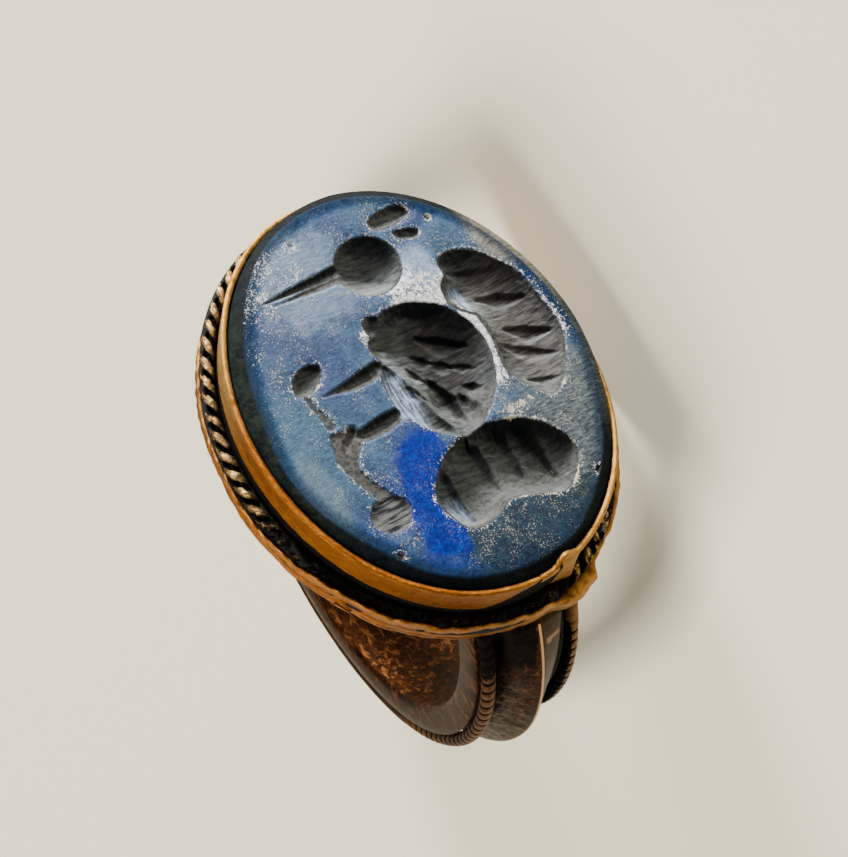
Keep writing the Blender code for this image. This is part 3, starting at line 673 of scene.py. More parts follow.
# How far each point faces down the view: such walls get painted shade, the others painted light.
own_normals = np.array([vertex.normal for vertex in gem.data.vertices]) @ np.array(lying.to_3x3())
add_mark(gem.data, "upper_wall", own_normals @ np.array((0.90, -0.44, 0)))
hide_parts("gem")


# The collet: one strip of sheet gold bent round the stone, its ends lapped at one end of the oval.
# The lapped end stands up as a small tab whose corner is bent out over the twisted wire, the rim
# is worn down on the far side, and old dirt has packed against the foot.
COLLET_WALL = 0.28
LAP_TURN = math.radians(14)
LAP_BACK = math.radians(8)
BEND = 0.34
RIM_ROUND = 0.10
SMEARS_ROUND = 180 / math.pi       # soil lies round the oval in short smears, this many a turn


def gold(name, body, foot, bright):
    """Worn gold with soil in its hollows, pale where rubbed, with painted shade and warm reflection
    at the foot.
    """
    made, shader, shade = finish(name)
    place = shade.mark("ring", "Vector")
    rubbed = shade.mark("rubbed")
    grain = place.mottle(6.0, 5.0, 0.7)
    fine = place.mottle(16.0, 3.0, 0.7)
    along_strip = place.squeezed(1, 1, 5)
    scratches = along_strip.mottle(4.0, 4.0, 0.8, 0.2)
    smears = along_strip.mottle(1.7, 4.0, 0.7, 0.3)
    soil = (shade.mark("dirt") + (grain - 0.5) * 0.65 + (smears - 0.5) * 0.45).rise(0.38, 0.60)
    # Painted shade and a painted warm reflection: deep orange towards the stone's foot.
    foot_shade_and_reflection = place.spots((4.3, -7.0, 7.0, 4.0, 0.3, 1.0), (8.5, -2.5, 2.6, 4.0, 0.3, 1.0))
    foot = np.array(foot)
    feed(shader, {
        "Base Color": layered(
            foot_shade_and_reflection.rise().mix(colour(*body), colour(*foot)),
            # Painted shade: darker at the foot end's +A side, which faces the key light.
            (place.spot(9.3, 2.5, 2.0, 5.0, 0.3) * 0.6, colour(136, 94, 40)),
            (place.mottle(0.8, 3.0, 0.6).rise(0.40, 0.70) * 0.28, colour(*(0.8 * foot))),
            (scratches.rise(0.45, 0.70) * 0.5, colour(*bright)),
            (rubbed * 0.8, colour(*bright)),
            (smears.rise(0.48, 0.66) * 0.6, colour(*(0.5 * foot))),
            (soil, grain.tones(0.45, 0.80, (3, 3, 2), (30, 22, 12))),
        ),
        "Metallic": 1 - soil * 0.95,
        "Roughness": 0.38 + grain * 0.22 + soil * 0.45 - rubbed * 0.10,
        "Specular IOR Level": 0.08,
        "Normal": (fine * 0.35 + scratches * 0.7 + smears * 0.8
                   + grain * (0.4 + soil * 1.4)).bumps(0.9, 0.00005),
    })
    return made


turns = full_turn(1200)
lap_steps = LAP_TURN - LAP_BACK * np.linspace(0, 1, 24)
turns = np.sort(np.concatenate([turns, lap_steps, [LAP_TURN + 0.003]]))
lapped = (turns <= LAP_TURN + 1e-9) & (turns > LAP_TURN - LAP_BACK)
bent = np.where(lapped, 1 - (LAP_TURN - turns) / LAP_BACK, 0) ** 1.4
tab = hump(turns, 9.5, 5.5)
on_oval = oval(0, turns, 0)
rim = RIM - WORN_DROP * worn_side(turns) + 0.12 * bent + 0.30 * tab
rim += 0.025 * ripple(on_oval, 1.1, 3.0) + 0.012 * ripple(on_oval, 0.3, 6.0)
over_wire = PLATE_TOP + 2 * GAP + 0.62
foot_out = COLLET_WALL - COLLET_TAPER
seam = hump(turns, 272, 24)
sections = [
    (-COLLET_TAPER, PLATE_TOP + GAP),
    (foot_out, PLATE_TOP + GAP),
    (foot_out, over_wire - 0.2),
    (foot_out + 0.10 * bent, over_wire),
    (foot_out + BEND * bent, over_wire + 0.08),
]
for share in np.linspace(0.12, 0.9, 9):
    level = over_wire + 0.08 + (rim - RIM_ROUND - over_wire - 0.08) * share
    out = foot_out + COLLET_TAPER * (level - PLATE_TOP) / COLLET_HEIGHT
    out = out + BEND * bent * (1 - share) ** 1.3 + 0.03 * bent
    out = out + 0.012 * ripple(on_oval + (0, 0, share * 2), 0.8, 1.0)
    out = out - 0.07 * seam * math.exp(-((share - 0.51) / 0.10) ** 2)
    sections.append((out, level))
for angle in np.radians([0, 30, 60, 90, 130]):
    out = COLLET_WALL - 0.11 + 0.11 * math.cos(angle) + 0.02 * bent - 0.16 * tab
    sections.append((out, rim - RIM_ROUND + RIM_ROUND * math.sin(angle)))
sections.append((-0.005 - 0.16 * tab, rim - 0.12))
sections.append((-COLLET_TAPER * 0.5, (rim + PLATE_TOP) / 2))
collet_rows = np.stack([oval(out, turns, level) for out, level in sections], 1)
levels = collet_rows[:, :, 2]
degrees = np.degrees(turns)[:, None]
dirt_level = 8.25 + 0.45 * rise(degrees, 205, 262) + 0.15 * hump(turns, 300, 60)[:, None]
dirt_level = np.where((degrees > 14.2) & (degrees < 75), 9.9, dirt_level)
from_foot_end = (degrees + 180) % 360 - 180
# The collet is also darker up under the bent tab, and along lines at the tab's edges.
dark_under_tab = rise(from_foot_end, -17, 0) * (from_foot_end < 7.2)
dirt_level = dirt_level + 1.65 * dark_under_tab
packed = 1 - rise(levels, dirt_level - 0.10, dirt_level + 0.14)
tab_dark_lines = np.maximum(0.75 * hump(turns, 7.0, 1.3), 0.6 * hump(turns, 14.3, 0.8))[:, None]
packed[:, 5:16] = np.maximum(packed[:, 5:16], tab_dark_lines)
band_smears = np.array((0.34, 0.30, 0.24, 0.20, 0.18, 0.18, 0.20, 0.26, 0.34))
smeared = band_smears * hump(SMEARS_ROUND * turns, 280, 100)[:, None]
packed[:, 5:14] = np.maximum(packed[:, 5:14], smeared)
packed[:, -2:] = 1
rubbed = np.zeros_like(levels)
rubbed[:, 15:19] = 0.035
rubbed[(bent[:, None] > 0.93) & (levels > over_wire + 0.05)] = 0.28
collet = new_piece(
    "strip_collet", collet_rows.reshape(-1, 3), skin(len(turns), len(sections), along=True),
    gold("collet gold", (162, 121, 60), (130, 68, 10), (190, 144, 74)),
    {"dirt": packed, "rubbed": rubbed})
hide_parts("collet")


# The base plate: thin sheet gold under the collet, its edge beaten out, crinkled and turned up a
# little, with fine creases along it, one leaf-shaped flap at the foot end, and a small curl of
# foil that hangs from the edge.
PLATE_LENGTH = 19.4
PLATE_WIDTH = 16.4
PLATE_DROP = 7.06
PLATE_SHIFT = 0.1
LIP_HEIGHT = 0.56

turns = full_turn(1500)
degrees = np.degrees(turns)
still = 1 - hump(turns, 90, 40)    # the side that the ring lies on isn't crinkled
leaf = rise(degrees, 3, 12) * (1 - rise(degrees, 20.5, 24.5))
foot_lip = rise(degrees, 270, 306) + (1 - rise(degrees, 1, 11)) * (turns < 1)


def end_caps(rows, columns):
    """The two faces that close the first and the last row."""
    last = (rows - 1) * columns
    return [list(range(columns)), list(range(last, last + columns))]


def crinkle(phase):
    """The beaten edge, from -1 to 1."""
    waves = 0.5 * np.sin(9 * turns + phase) + 0.3 * np.sin(17 * turns + 2.1 * phase)
    return (waves + 0.2 * np.sin(31 * turns + 0.7 * phase)) * still


edge_out = 0.06 * crinkle(1.0) + 0.45 * leaf - 0.18 * hump(turns, 203, 28)
lift = 0.16 * still * (0.6 + 0.4 * crinkle(2.6))
on_edge = np.c_[9 * np.cos(turns), 8 * np.sin(turns), 0 * turns]
small = ripple(on_edge, 0.45, 2.0) * still
cusps = np.maximum(np.sin(66 * turns + 0.8), 0) ** 3 * hump(turns, 195, 45)
profile = (
    # height, offset, shares of the edge's reach, lift, crinkles and foot lip, the lip's lean, the
    # leaf's lift and lean, share of the cusps, dirt, what the leaf is free of, share of the rubbing
    (0.00, -1.200, 0.00, 0.00, 0.0, 0.00, 0.00, 0.00, 0.00, 0, 0.50, 0.0, 0),
    (0.00, -0.350, 0.00, 0.00, 0.0, 0.00, 0.00, 0.00, 0.00, 0, 0.50, 0.0, 0),
    (0.02, -0.140, 0.50, 0.10, 0.3, 0.00, 0.00, 0.00, 0.00, 0, 0.50, 0.0, 0),
    (0.07, -0.010, 0.90, 0.30, 0.6, 0.00, 0.00, 0.00, 0.00, 0, 0.00, 0.0, 0),
    (0.15, 0.000, 0.95, 0.50, 0.8, 0.00, 0.00, 0.00, 0.00, 0, 0.15, 0.0, 0),
    (0.19, -0.050, 0.95, 0.55, 0.9, 0.00, 0.00, 0.00, 0.00, 0, 0.38, 0.0, 0),
    (0.23, -0.010, 1.00, 0.65, 1.0, 0.10, 0.00, 0.00, 0.00, 0, 0.00, 0.0, 0),
    (0.30, 0.000, 1.00, 0.75, 1.0, 0.30, 0.00, 0.00, 0.00, 0, 0.15, 0.0, 0),
    (0.34, -0.045, 1.00, 0.80, 1.0, 0.45, 0.00, 0.00, 0.00, 0, 0.38, 0.0, 0),
    (0.38, -0.010, 1.00, 0.90, 1.0, 0.60, 0.00, 0.00, 0.00, 0, 0.00, 0.0, 0),
    (0.46, 0.000, 1.00, 1.00, 1.0, 0.80, 0.00, 0.04, 0.00, 0, 0.00, 0.0, 1),
    (0.52, -0.030, 1.00, 1.00, 1.0, 0.95, 0.00, 0.10, 0.00, 0, 0.00, 0.0, 1),
    (0.54, -0.080, 0.90, 1.00, 1.0, 1.00, 0.00, 0.22, 0.00, 0, 0.00, 0.0, 1),
    (0.53, -0.140, 0.80, 0.90, 0.8, 0.95, -0.03, 0.32, 0.00, 1, 0.30, 0.3, 0),
    (0.52, -0.200, 0.50, 0.50, 0.5, 0.30, 0.07, 0.38, 0.02, 1, 0.75, 0.6, 0),
    (0.54, -0.300, 0.20, 0.10, 0.2, 0.00, 0.18, 0.34, 0.06, 0, 1.00, 0.7, 0),
    (0.55, -0.450, 0.00, 0.00, 0.0, 0.00, 0.00, 0.00, 0.00, 0, 1.00, 0.0, 0),
    (0.55, -1.200, 0.00, 0.00, 0.0, 0.00, 0.00, 0.00, 0.00, 0, 1.00, 0.0, 0),
)
plate_rows, plate_dirt, plate_rub = [], [], []
for i, (height, offset, reach, lifted, crinkled, lip_share, lip_lean, leaf_lift, leaf_lean, cusped,
        dirt, cleaned, rub) in enumerate(profile):
    foil = ripple(on_edge + (0, 0, 0.12 * i), 0.30, 5.0) * still
    out = offset + edge_out * reach + (0.045 * small + 0.045 * foil) * crinkled
    out = out - 0.16 * cusped * cusps + foot_lip * lip_lean + leaf * leaf_lean
    high = PLATE_DROP + height + lift * lifted
    high = high + crinkled * (0.05 * np.roll(small, 40) + 0.02 * foil)
    high = high + leaf_lift * leaf * (1 + 0.25 * foil) + 0.10 * cusped * cusps
    high = high + LIP_HEIGHT * foot_lip * lip_share * (1 + 0.30 * np.roll(small, 90) + 0.15 * foil)
    plate_rows.append(np.stack([
        (PLATE_LENGTH / 2 + out) * np.cos(turns),
        (PLATE_WIDTH / 2 + out) * np.sin(turns) + PLATE_SHIFT,
        np.maximum(high, PLATE_DROP)], 1))
    plate_dirt.append(dirt - cleaned * leaf)
    plate_rub.append(rub * (0.35 - 0.30 * hump(turns, 225, 70)))
faces = skin(len(profile), len(turns)) + end_caps(len(profile), len(turns))
first = len(profile) * len(turns)

curl_turn = full_turn(28)[:, None]
curl_along, curl_up = np.array((0.843, 0.538, 0.0)), np.array((0.20, -0.30, 0.93))
curl = np.array((5.85, -6.44, 7.30)) + 0.30 * np.cos(curl_turn) * curl_along
curl = curl + (0.15 + 0.05 * np.cos(curl_turn - 0.6)) * np.sin(curl_turn) * curl_up
curl_run = np.roll(curl, -1, 0) - np.roll(curl, 1, 0)
curl_run /= np.linalg.norm(curl_run, axis=1, keepdims=True)
curl_side = np.cross(curl_run, np.cross(curl_along, curl_up))
curl_out = np.cross(curl_run, curl_side)
curl_rows = np.stack([
    curl + 0.055 * math.cos(a) * curl_side + 0.045 * math.sin(a) * curl_out
    for a in full_turn(8)], 1)
faces += (np.array(skin(len(curl), 8, along=True)) + first).tolist()
in_curl = np.ones(len(curl) * 8)
plate = new_piece(
    "flange_plate", np.concatenate(plate_rows + [curl_rows.reshape(-1, 3)]), faces,
    gold("plate gold", (134, 92, 46), (132, 72, 18), (176, 126, 68)),
    {"dirt": np.concatenate(plate_dirt + [0.1 * in_curl]),
     "rubbed": np.concatenate(plate_rub + [0.3 * in_curl])})
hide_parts("base_plate")


# The twisted wire: two doubled strands of thin gold wire twisted together and laid on the plate
# round the collet. Dirt fills the hollows between the strands.
ROPE_RADIUS = 0.31
ROPE_PITCH = 0.81
ROPE_OFFSET = 0.55
ROPE_STEP = 0.085
STRAND_SIDES = 8


def even_path(points, step):
    """Points at even steps along a line of points, and the length of it all."""
    run = np.r_[0, np.cumsum(np.linalg.norm(np.diff(points, axis=0), axis=1))]
    wanted = np.linspace(0, run[-1], round(run[-1] / step) + 1)
    return np.stack([np.interp(wanted, run, axis) for axis in points.T], 1), run[-1]


def unit(vectors):
    return vectors / np.linalg.norm(vectors, axis=1, keepdims=True)


def oval_turn(points):
    """The turn round the stone's oval at each point."""
    return np.arctan2(points[:, 1] / STONE_WIDTH, points[:, 0] / STONE_LENGTH)


fine_turns = np.linspace(0, 2 * math.pi, 4001)
rope_path, rope_length = even_path(
    oval(ROPE_OFFSET, fine_turns, PLATE_TOP + GAP + ROPE_RADIUS), ROPE_STEP)
lobes = 2 * round(rope_length / ROPE_PITCH / 2)
rope_path = rope_path[:-1]
run = unit(np.roll(rope_path, -1, 0) - np.roll(rope_path, 1, 0))
upward = np.zeros_like(run)
upward[:, 2] = 1
side = np.cross(run, upward)
travel = np.linspace(0, 1, len(rope_path), endpoint=False)
uneven = ripple(rope_path, 1.3, 7.0)
broken = hump(oval_turn(rope_path), 33, 26)
strand_angles = full_turn(STRAND_SIDES)[None, :, None]
rope_parts, rope_faces, rope_dirt, rope_rub_and_highlight = [], [], [], []
for base in (0, math.pi):
    for apart, thickness in ((-0.52, 0.090), (0.0, 0.105), (0.52, 0.090)):
        angle = -math.pi * lobes * travel + base + apart + 0.30 * uneven
        outwards = upward * np.cos(angle)[:, None] + side * np.sin(angle)[:, None]
        middle = rope_path + outwards * (0.20 - 0.012 * abs(apart) + 0.010 * uneven)[:, None]
        along = unit(np.roll(middle, -1, 0) - np.roll(middle, 1, 0))
        first_side = unit(outwards - along * (outwards * along).sum(1)[:, None])
        second_side = np.cross(along, first_side)
        on_top = np.clip(np.cos(angle + 0.5), 0, 1)
        knots = ripple(middle, 0.13, 2.0 + apart)
        radius = thickness * (0.80 + 0.28 * on_top + 0.08 * uneven + (0.46 + 0.30 * broken) * knots)
        section = np.cos(strand_angles) * first_side[:, None]
        section = section + np.sin(strand_angles) * second_side[:, None]
        rows = middle[:, None] + section * radius[:, None, None]
        first = len(rope_parts) * len(rope_path) * STRAND_SIDES
        rope_parts.append(rows.reshape(-1, 3))
        rope_faces += (np.array(skin(len(rope_path), STRAND_SIDES, along=True)) + first).tolist()
        away = np.linalg.norm(rows - rope_path[:, None], axis=2)
        height = rows[:, :, 2] - PLATE_TOP
        low = 1 - rise(height, 0.12, 0.36)
        rope_dirt.append(np.maximum(1 - rise(away, 0.21, 0.29), low).ravel())
        # The strands' outer tops: pale with wear, and a painted highlight where they face up.
        bright = np.clip(0.75 + 0.9 * knots, 0, 1)[:, None]
        rope_rub_and_highlight.append((rise(away, 0.27, 0.31) * rise(height, 0.4, 0.6) * bright).ravel())
rope_points = np.concatenate(rope_parts)
rope_turn = oval_turn(rope_points) % (2 * math.pi)
buried = np.interp(np.degrees(rope_turn), [0, 8, 14, 20, 45, 60, 110, 135, 274, 290, 360],
                   [1, 1, 0.5, 0.35, 0.45, 0.85, 0.8, 0.1, 0, 1, 1])
soiled = hump(SMEARS_ROUND * rope_turn, 262, 40)
rope_dirt = np.clip(np.concatenate(rope_dirt) + 0.55 * rise(buried, 0.1, 0.6), 0, 1)
rope = new_piece(
    "twisted_wire", rope_points, rope_faces,
    gold("wire gold", (104, 78, 48), (80, 58, 28), (206, 170, 116)),
    {"dirt": rope_dirt + 0.14 * soiled,
     "rubbed": np.concatenate(rope_rub_and_highlight) * (1 - buried) * (1 - 0.5 * soiled)})
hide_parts("rope_wire")


# Packed dirt: old soil and polish in the groove between the collet's foot and the plate's lip. It
# stands highest at the foot end, where it buries most of the twisted wire.
DIRT_INSIDE = 0.20
DIRT_OUTSIDE = 0.88
# along the stone, along the finger, height and width of the crumbs at the end of the twisted wire
CRUMBS = ((7.89, 4.23, 0.42, 0.13), (7.43, 4.73, 0.38, 0.12), (8.85, 3.23, 0.42, 0.20),
          (8.25, 3.90, 0.28, 0.11), (8.60, 3.62, 0.26, 0.12), (9.05, 2.75, 0.26, 0.14))

turns = full_turn(1300)
dirt_height = 0.15 + 0.42 * np.interp(
    np.degrees(turns), [0, 8, 16, 30, 60, 110, 135, 272, 290, 360],
    [1, 1, 0.35, 0.45, 0.8, 0.7, 0.1, 0, 1, 1])
against_foot = 0.30 * (0.4 + 0.6 * rise(hump(turns, 290, 80), 0.1, 0.8))
dirt_rows = []
for share in np.linspace(0, 1, 12):
    points = oval(DIRT_INSIDE + (DIRT_OUTSIDE - DIRT_INSIDE) * share, turns, 0)
    lumps = (0.10 * ripple(points, 0.20, 1.0) + 0.05 * ripple(points, 0.6, 8.0)
             + 0.03 * ripple(points, 0.09, 4.0))
    thinned = math.sin(math.pi * share) ** 0.35
    points[:, 2] = PLATE_TOP + 0.015 + np.maximum((dirt_height + lumps) * thinned, 0)
    points[:, 2] += against_foot * (1 - share) ** 2.5
    for at_t, at_a, high, wide in CRUMBS:
        away = np.hypot(points[:, 0] - at_t, points[:, 1] - at_a)
        points[:, 2] += high * np.exp(-(away / wide) ** 2) * thinned
    dirt_rows.append(points)
dirt_rows += [oval(out, turns, PLATE_TOP + 0.012) for out in (DIRT_OUTSIDE, DIRT_INSIDE)]

earth, shader, shade = finish("packed dirt")
place = shade.mark("ring", "Vector")
grain = place.mottle(7.0, 5.0, 0.75)
specks = place.mottle(20.0, 2.0, 0.7)
yellow = place.spots((8.85, 3.25, 0.34, 0.40, 0.3, 1.0), (8.45, 3.75, 0.5, 0.3, 0.3, 1.0))
whitish = place.spot(7.66, 4.48, 0.45, 0.45, 0.2)
feed(shader, {
    "Base Color": layered(
        grain.tones(0.45, 0.75, (3, 3, 2), (26, 24, 14)),
        (specks.rise(0.64, 0.74) * 0.7, colour(104, 96, 56)),
        (yellow.rise() * specks.rise(0.42, 0.60), colour(176, 142, 66)),
        (whitish * specks.rise(0.40, 0.55), colour(190, 186, 168)),
    ),
    "Roughness": 0.5 + grain * 0.4,
    "Specular IOR Level": 0.15,
    "Normal": (grain + specks * 0.4).bumps(0.9, 0.00006),
})
dirt = new_piece("packed_dirt", np.concatenate(dirt_rows),
                 skin(len(dirt_rows), len(turns), along=True), earth, {})


# The hoop: one band, round inside, with a sharp middle rib whose flanks are dented, tarnished and
# dirty. It is cut level under the plate and soldered there.
HOLE_RADIUS = 9.2
BAND_RADIUS = 10.57
BAND_RISE = 0.11
RIB_HEIGHT = 1.38
WIRE_RADIUS = 0.32
HOOP_SHIFT = (0.40, 0.26, 0.0)
STATIONS = 420


def band_half_width(angle):
    """Half the band's width at an angle round from the hoop's back."""
    return 2.4 - 0.25 * (0.5 + 0.5 * np.cos(angle))


def band_section(spread):
    """The band's outline across, where its rib is spread from 0 to 1 towards the plate."""
    flank = BAND_RADIUS + RIB_HEIGHT * (0.42 + 0.38 * spread)
    crest = BAND_RADIUS + RIB_HEIGHT * (1 - 0.12 * spread)
    waist = 0.35 + 0.13 * spread
    seat = 2 * WIRE_RADIUS + GAP
    # radius, rise of the circle's middle, share of the half width, inset from the edge
    half = [
        (HOLE_RADIUS, 0.0, 0.4, 0.0), (HOLE_RADIUS, 0.0, 1.0, 0.25),
        (HOLE_RADIUS + 0.07, 0.0, 1.0, 0.08), (HOLE_RADIUS + 0.25, 0.0, 1.0, 0.0),
        (10.1, 0.06, 1.0, 0.0), (BAND_RADIUS - 0.03, BAND_RISE, 1.0, 0.0),
        (BAND_RADIUS, BAND_RISE, 1.0, 0.04), (BAND_RADIUS, BAND_RISE, 1.0, seat),
    ]
    for share in np.linspace(0, 1, 9)[1:]:
        half.append((BAND_RADIUS + (flank - BAND_RADIUS) * share, BAND_RISE,
                     1 + (waist - 1) * share, seat * (1 - share)))
    for share in np.linspace(0, 1, 8)[1:]:
        half.append((flank + (crest - flank) * share, BAND_RISE, waist * (1 - share),
                     -0.05 * share))
    other = [(radius, lift, -share, -inset) for radius, lift, share, inset in reversed(half)]
    return half + other


top = PLATE_DROP - GAP
hoop_rows = []
for i in range(STATIONS + 1):
    station = 2 * i / STATIONS - 1
    spread = max(0.0, (abs(station) - 0.72) / 0.28) ** 1.5
    row = []
    for at_plate, here in zip(band_section(1.0), band_section(spread)):
        angle = station * math.acos((at_plate[1] - top) / at_plate[0])
        radius, lift, share, inset = here
        row.append((radius * math.sin(angle), band_half_width(angle) * share - inset,
                    lift - radius * math.cos(angle)))
    hoop_rows.append(row)
columns = len(hoop_rows[0])
hoop_points = np.array(hoop_rows).reshape(-1, 3)
outer = np.zeros((STATIONS + 1, columns))
outer[:, 8:-8] = 1
outer = outer.ravel()
over_middle = hoop_points[:, 1]
dents = (0.05 * ripple(hoop_points, 0.9, 1.0) + 0.05 * ripple(hoop_points, 0.35, 2.0)
         + 0.035 * ripple(hoop_points, 0.16, 3.0)) * (1 - 0.75 * rise(over_middle, 0.05, 0.25))
dents *= rise(np.abs(over_middle), 0.06, 0.35) * rise(top - hoop_points[:, 2], 0.05, 0.3) * outer
hoop_points = hoop_points + unit(hoop_points * (1, 0, 1)) * np.minimum(dents, 0.02)[:, None]

over_middle = hoop_points[:, 1]
across = np.abs(over_middle)
crest = (1 - rise(across, 0.16, 0.24)) * outer
near_plate = rise(hoop_points[:, 2], top - 2.6, top - 0.5)
hoop_dirt = outer * (0.36 + 0.50 * near_plate + 0.35 * rise(across, 0.9, 1.7)) - crest * 0.6
smooth_flank = rise(over_middle, 0.05, 0.25) * (1 - rise(over_middle, 1.15, 1.55)) * outer
hoop_dirt = np.clip(hoop_dirt, 0, 1) * (1 - 0.85 * smooth_flank)
inner_face = (np.linalg.norm(hoop_points[:, ::2], axis=1) < HOLE_RADIUS + 0.3) * 1.0
hoop_dirt = hoop_dirt * (1 - inner_face) + inner_face * 0.15
# A painted glint: a short bright dash of highlight on the flank.
around_hoop = np.degrees(np.arctan2(hoop_points[:, 0], BAND_RISE - hoop_points[:, 2]))
glint = (np.abs(around_hoop - 121.2) < 0.5) & (np.abs(over_middle - 0.62) < 0.32)
glint |= (np.abs(around_hoop - 120.4) < 0.6) & (np.abs(over_middle - 0.38) < 0.12)

tarnished, shader, shade = finish("tarnished gold")
place = shade.mark("ring", "Vector")
grain = place.mottle(4.0, 5.0, 0.72)
fine = place.mottle(14.0, 3.0, 0.7)
slanted = place.squeezed(1.0, 3.0, 2.6).mottle(1.2, 4.0, 0.65, 0.6)
from_crest = place.node("ShaderNodeSeparateXYZ", {}, {0: place}, 1) - HOOP_SHIFT[1]
crest_line = 1 - from_crest.math("ABSOLUTE", from_crest, 0.0).rise(0.03, 0.085)
# Painted highlights: a thin pale line along the worn crest, and the glint.
lit = shade.mark("rubbed") * crest_line * (0.65 + grain * 0.6) + shade.mark("glint") * 0.45
lit = lit.rise()
soil = (shade.mark("dirt") + (grain - 0.5) * 1.0).rise(0.36, 0.60)
feed(shader, {
    "Base Color": layered(
        grain.tones(0.35, 0.7, (18, 8, 2), (56, 26, 8)),
        (slanted.rise(0.50, 0.66) * 0.65, colour(108, 66, 32)),
        (shade.mark("smooth") * 0.85, colour(48, 38, 30)),
        (lit * 0.9, colour(190, 146, 104)),
        (soil * 0.94, grain.tones(0.45, 0.8, (4, 3, 2), (28, 19, 11))),
    ),
    "Metallic": 0.9 - soil * 0.8,
    "Roughness": 0.40 + grain * 0.22 + soil * 0.40 - lit * 0.1,
    "Specular IOR Level": 0.08,
    "Normal": (grain * 0.8 + fine * 0.3 + slanted * 0.6).bumps(0.6, 0.00006),
})
band = new_piece(
    "ribbed_hoop", hoop_points + np.array(HOOP_SHIFT),
    skin(STATIONS + 1, columns) + end_caps(STATIONS + 1, columns), tarnished,
    {"dirt": hoop_dirt, "rubbed": crest, "smooth": smooth_flank,
     "glint": glint * outer})
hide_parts("hoop")


# The edge wires: a beaded wire soldered along each edge of the band, worn smooth at the hoop's back
# and crusted with dirt where it meets the plate.
BEAD_PITCH = 0.54
STEPS_A_BEAD = 10
WIRE_SIDES = 16


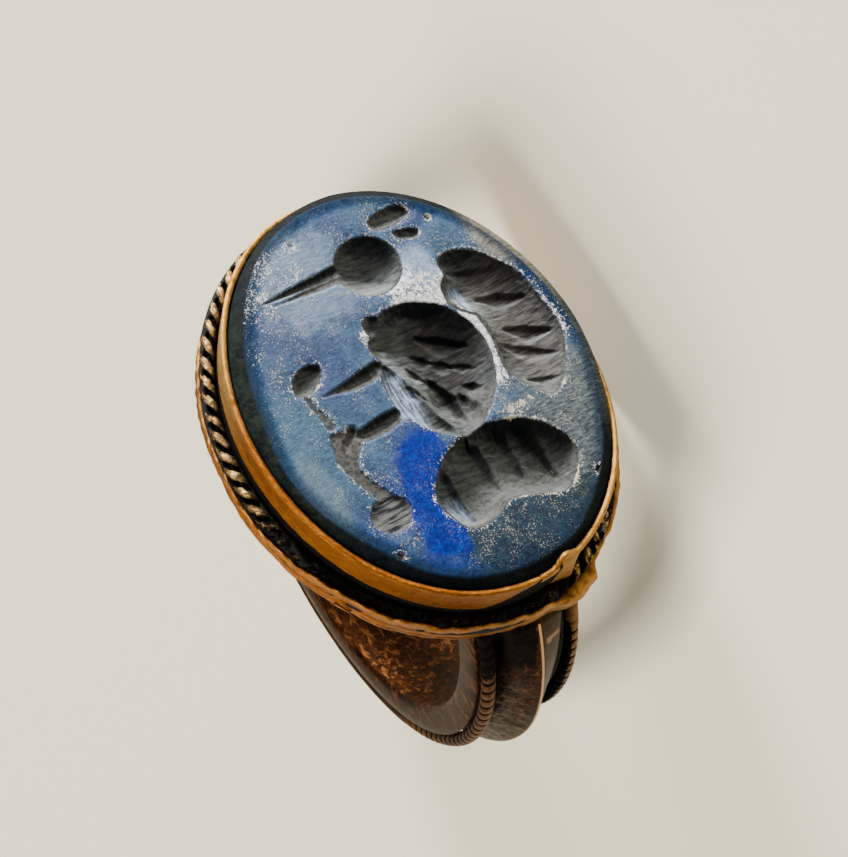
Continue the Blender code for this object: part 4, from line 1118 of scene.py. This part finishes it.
def edge_wire(name, metal_name, side_of_band, node, dirt_starts, dirt_ends):
    """One beaded wire. side_of_band is -1 for the edge that shows its face, and 1 for the other."""
    far = side_of_band > 0
    radius = BAND_RADIUS + GAP + WIRE_RADIUS
    end = math.acos((BAND_RISE - PLATE_DROP + GAP + WIRE_RADIUS) / radius)
    beads = round(2 * end * radius / BEAD_PITCH)
    rows = beads * STEPS_A_BEAD + 1
    angle = np.linspace(-end, end, rows)
    turned = np.degrees(angle)
    on_bead = np.abs(np.sin(math.pi * beads * np.arange(rows) / (rows - 1)))
    smooth = 1 - rise(np.abs(turned), 46, 56)
    if far:
        smooth = np.maximum(smooth, rise(turned, 116, 121))
    swell = 0.78 + 0.22 * np.sqrt(on_bead)
    swell = swell + (1 - swell) * smooth * 0.95
    run = np.stack([np.cos(angle), 0 * angle, np.sin(angle)], 1)
    out = np.stack([np.sin(angle), 0 * angle, -np.cos(angle)], 1)
    middle = out * radius
    middle[:, 1] = side_of_band * (band_half_width(angle) - WIRE_RADIUS)
    middle[:, 2] += BAND_RISE
    lumps = ripple(middle, 0.7, 3.0 * side_of_band)
    if not far:
        crumbs = ripple(middle, 0.35, 1.0) + 0.8 * ripple(middle, 0.16, 2.0)
        lumps = lumps + 3.0 * rise(middle[:, 2], 3.4, 5.0) * crumbs
    around = full_turn(WIRE_SIDES)
    sections = []
    for a in around:
        squared = 0.03 * (1 - smooth) * math.cos(2 * a)
        reach = WIRE_RADIUS * (swell * (1 + 0.03 * lumps) + squared - 0.02)
        lean = 0.10 * math.sin(a) * (1 - smooth)
        across = np.array((0, math.sin(a), 0))
        sections.append(middle + reach[:, None] * (out * math.cos(a) + across)
                        + run * lean[:, None])
    points = np.stack(sections, 1).reshape(-1, 3)
    joint = ((1 - rise(on_bead, 0.1, 0.6)) * (1 - smooth))[:, None]
    towards_band = np.clip(-0.5 * np.cos(around) - 0.5 * side_of_band * np.sin(around), 0, 1)
    dirt = joint * 0.75 + towards_band[None] * 0.9
    if far:
        hidden = 1 - rise(np.sin(around), -0.62, -0.25) * (np.cos(around) > 0)
        in_hollow = rise(turned, 50, 85) * (1 - smooth * (angle > 1))
        dirt = np.maximum(dirt, 0.75 * hidden[None] * in_hollow[:, None])
    near_plate = rise(middle[:, 2], dirt_starts, dirt_ends)[:, None]
    dirt = np.clip(dirt + near_plate * 0.6 + 0.16, 0, 1)
    rubbed = np.clip(np.cos(around)[None] * (1 - joint), 0, 1) * (1 - dirt) * 0.8
    made = new_piece(
        name, points + np.array(HOOP_SHIFT), skin(rows, WIRE_SIDES) + end_caps(rows, WIRE_SIDES),
        gold(metal_name, (44, 21, 8), (42, 20, 8), (116, 74, 36)),
        {"dirt": dirt, "rubbed": rubbed})
    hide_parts(node)


edge_wire("beaded_wire_near", "beaded wire near gold", -1, "edge_wire_near", 3.6, 5.6)
edge_wire("beaded_wire_far", "beaded wire far gold", 1, "edge_wire_far", 7.5, 8.5)


# The table: a plain pale sheet that the ring lies on, under plain soft studio lights. A low key
# light stands at one end of the stone, a small one in front, and a broad one hangs above.
TABLE_HALF = 3.0
TABLE_LEVEL = -0.00001

table_mesh = bpy.data.meshes.new("table")
table_corners = [(across * TABLE_HALF, deep * TABLE_HALF, TABLE_LEVEL)
                 for across, deep in ((-1, -1), (1, -1), (1, 1), (-1, 1))]
table_mesh.from_pydata(table_corners, [], [(0, 1, 2, 3)])
table = bpy.data.objects.new("table", table_mesh)
bpy.context.scene.collection.objects.link(table)
sheet, shader, shade = finish("pale table")
feed(shader, {"Base Color": colour(238, 230, 204), "Roughness": 0.8, "Specular IOR Level": 0.1})
table_mesh.materials.append(sheet)

world = bpy.data.worlds.new("studio")
world.use_nodes = True
feed(world.node_tree.nodes["Background"], {"Color": (1.0, 0.95, 0.86, 1), "Strength": 0.12})
bpy.context.scene.world = world


def softbox(name, place, size, power, tint=(1, 1, 1)):
    """A soft lamp that looks at the ring, with its size and place in metres."""
    data = bpy.data.lights.new(name, "AREA")
    data.shape = "RECTANGLE"
    data.size, data.size_y = size
    data.energy = power
    data.color = tint
    lamp = bpy.data.objects.new(name, data)
    lamp.location = place
    towards_ring = Vector((0, 0, 0.008)) - Vector(place)
    lamp.rotation_euler = towards_ring.to_track_quat("-Z", "Y").to_euler()
    lamp.visible_camera = False
    bpy.context.scene.collection.objects.link(lamp)


softbox("key", (0.46, -0.17, 0.07), (0.14, 0.12), 11.0, (1, 0.98, 0.95))
softbox("front", (0.185, -0.26, 0.028), (0.07, 0.045), 0.45)
softbox("top", (-0.15, 0.35, 0.80), (0.50, 0.50), 14.0, (1, 0.97, 0.88))
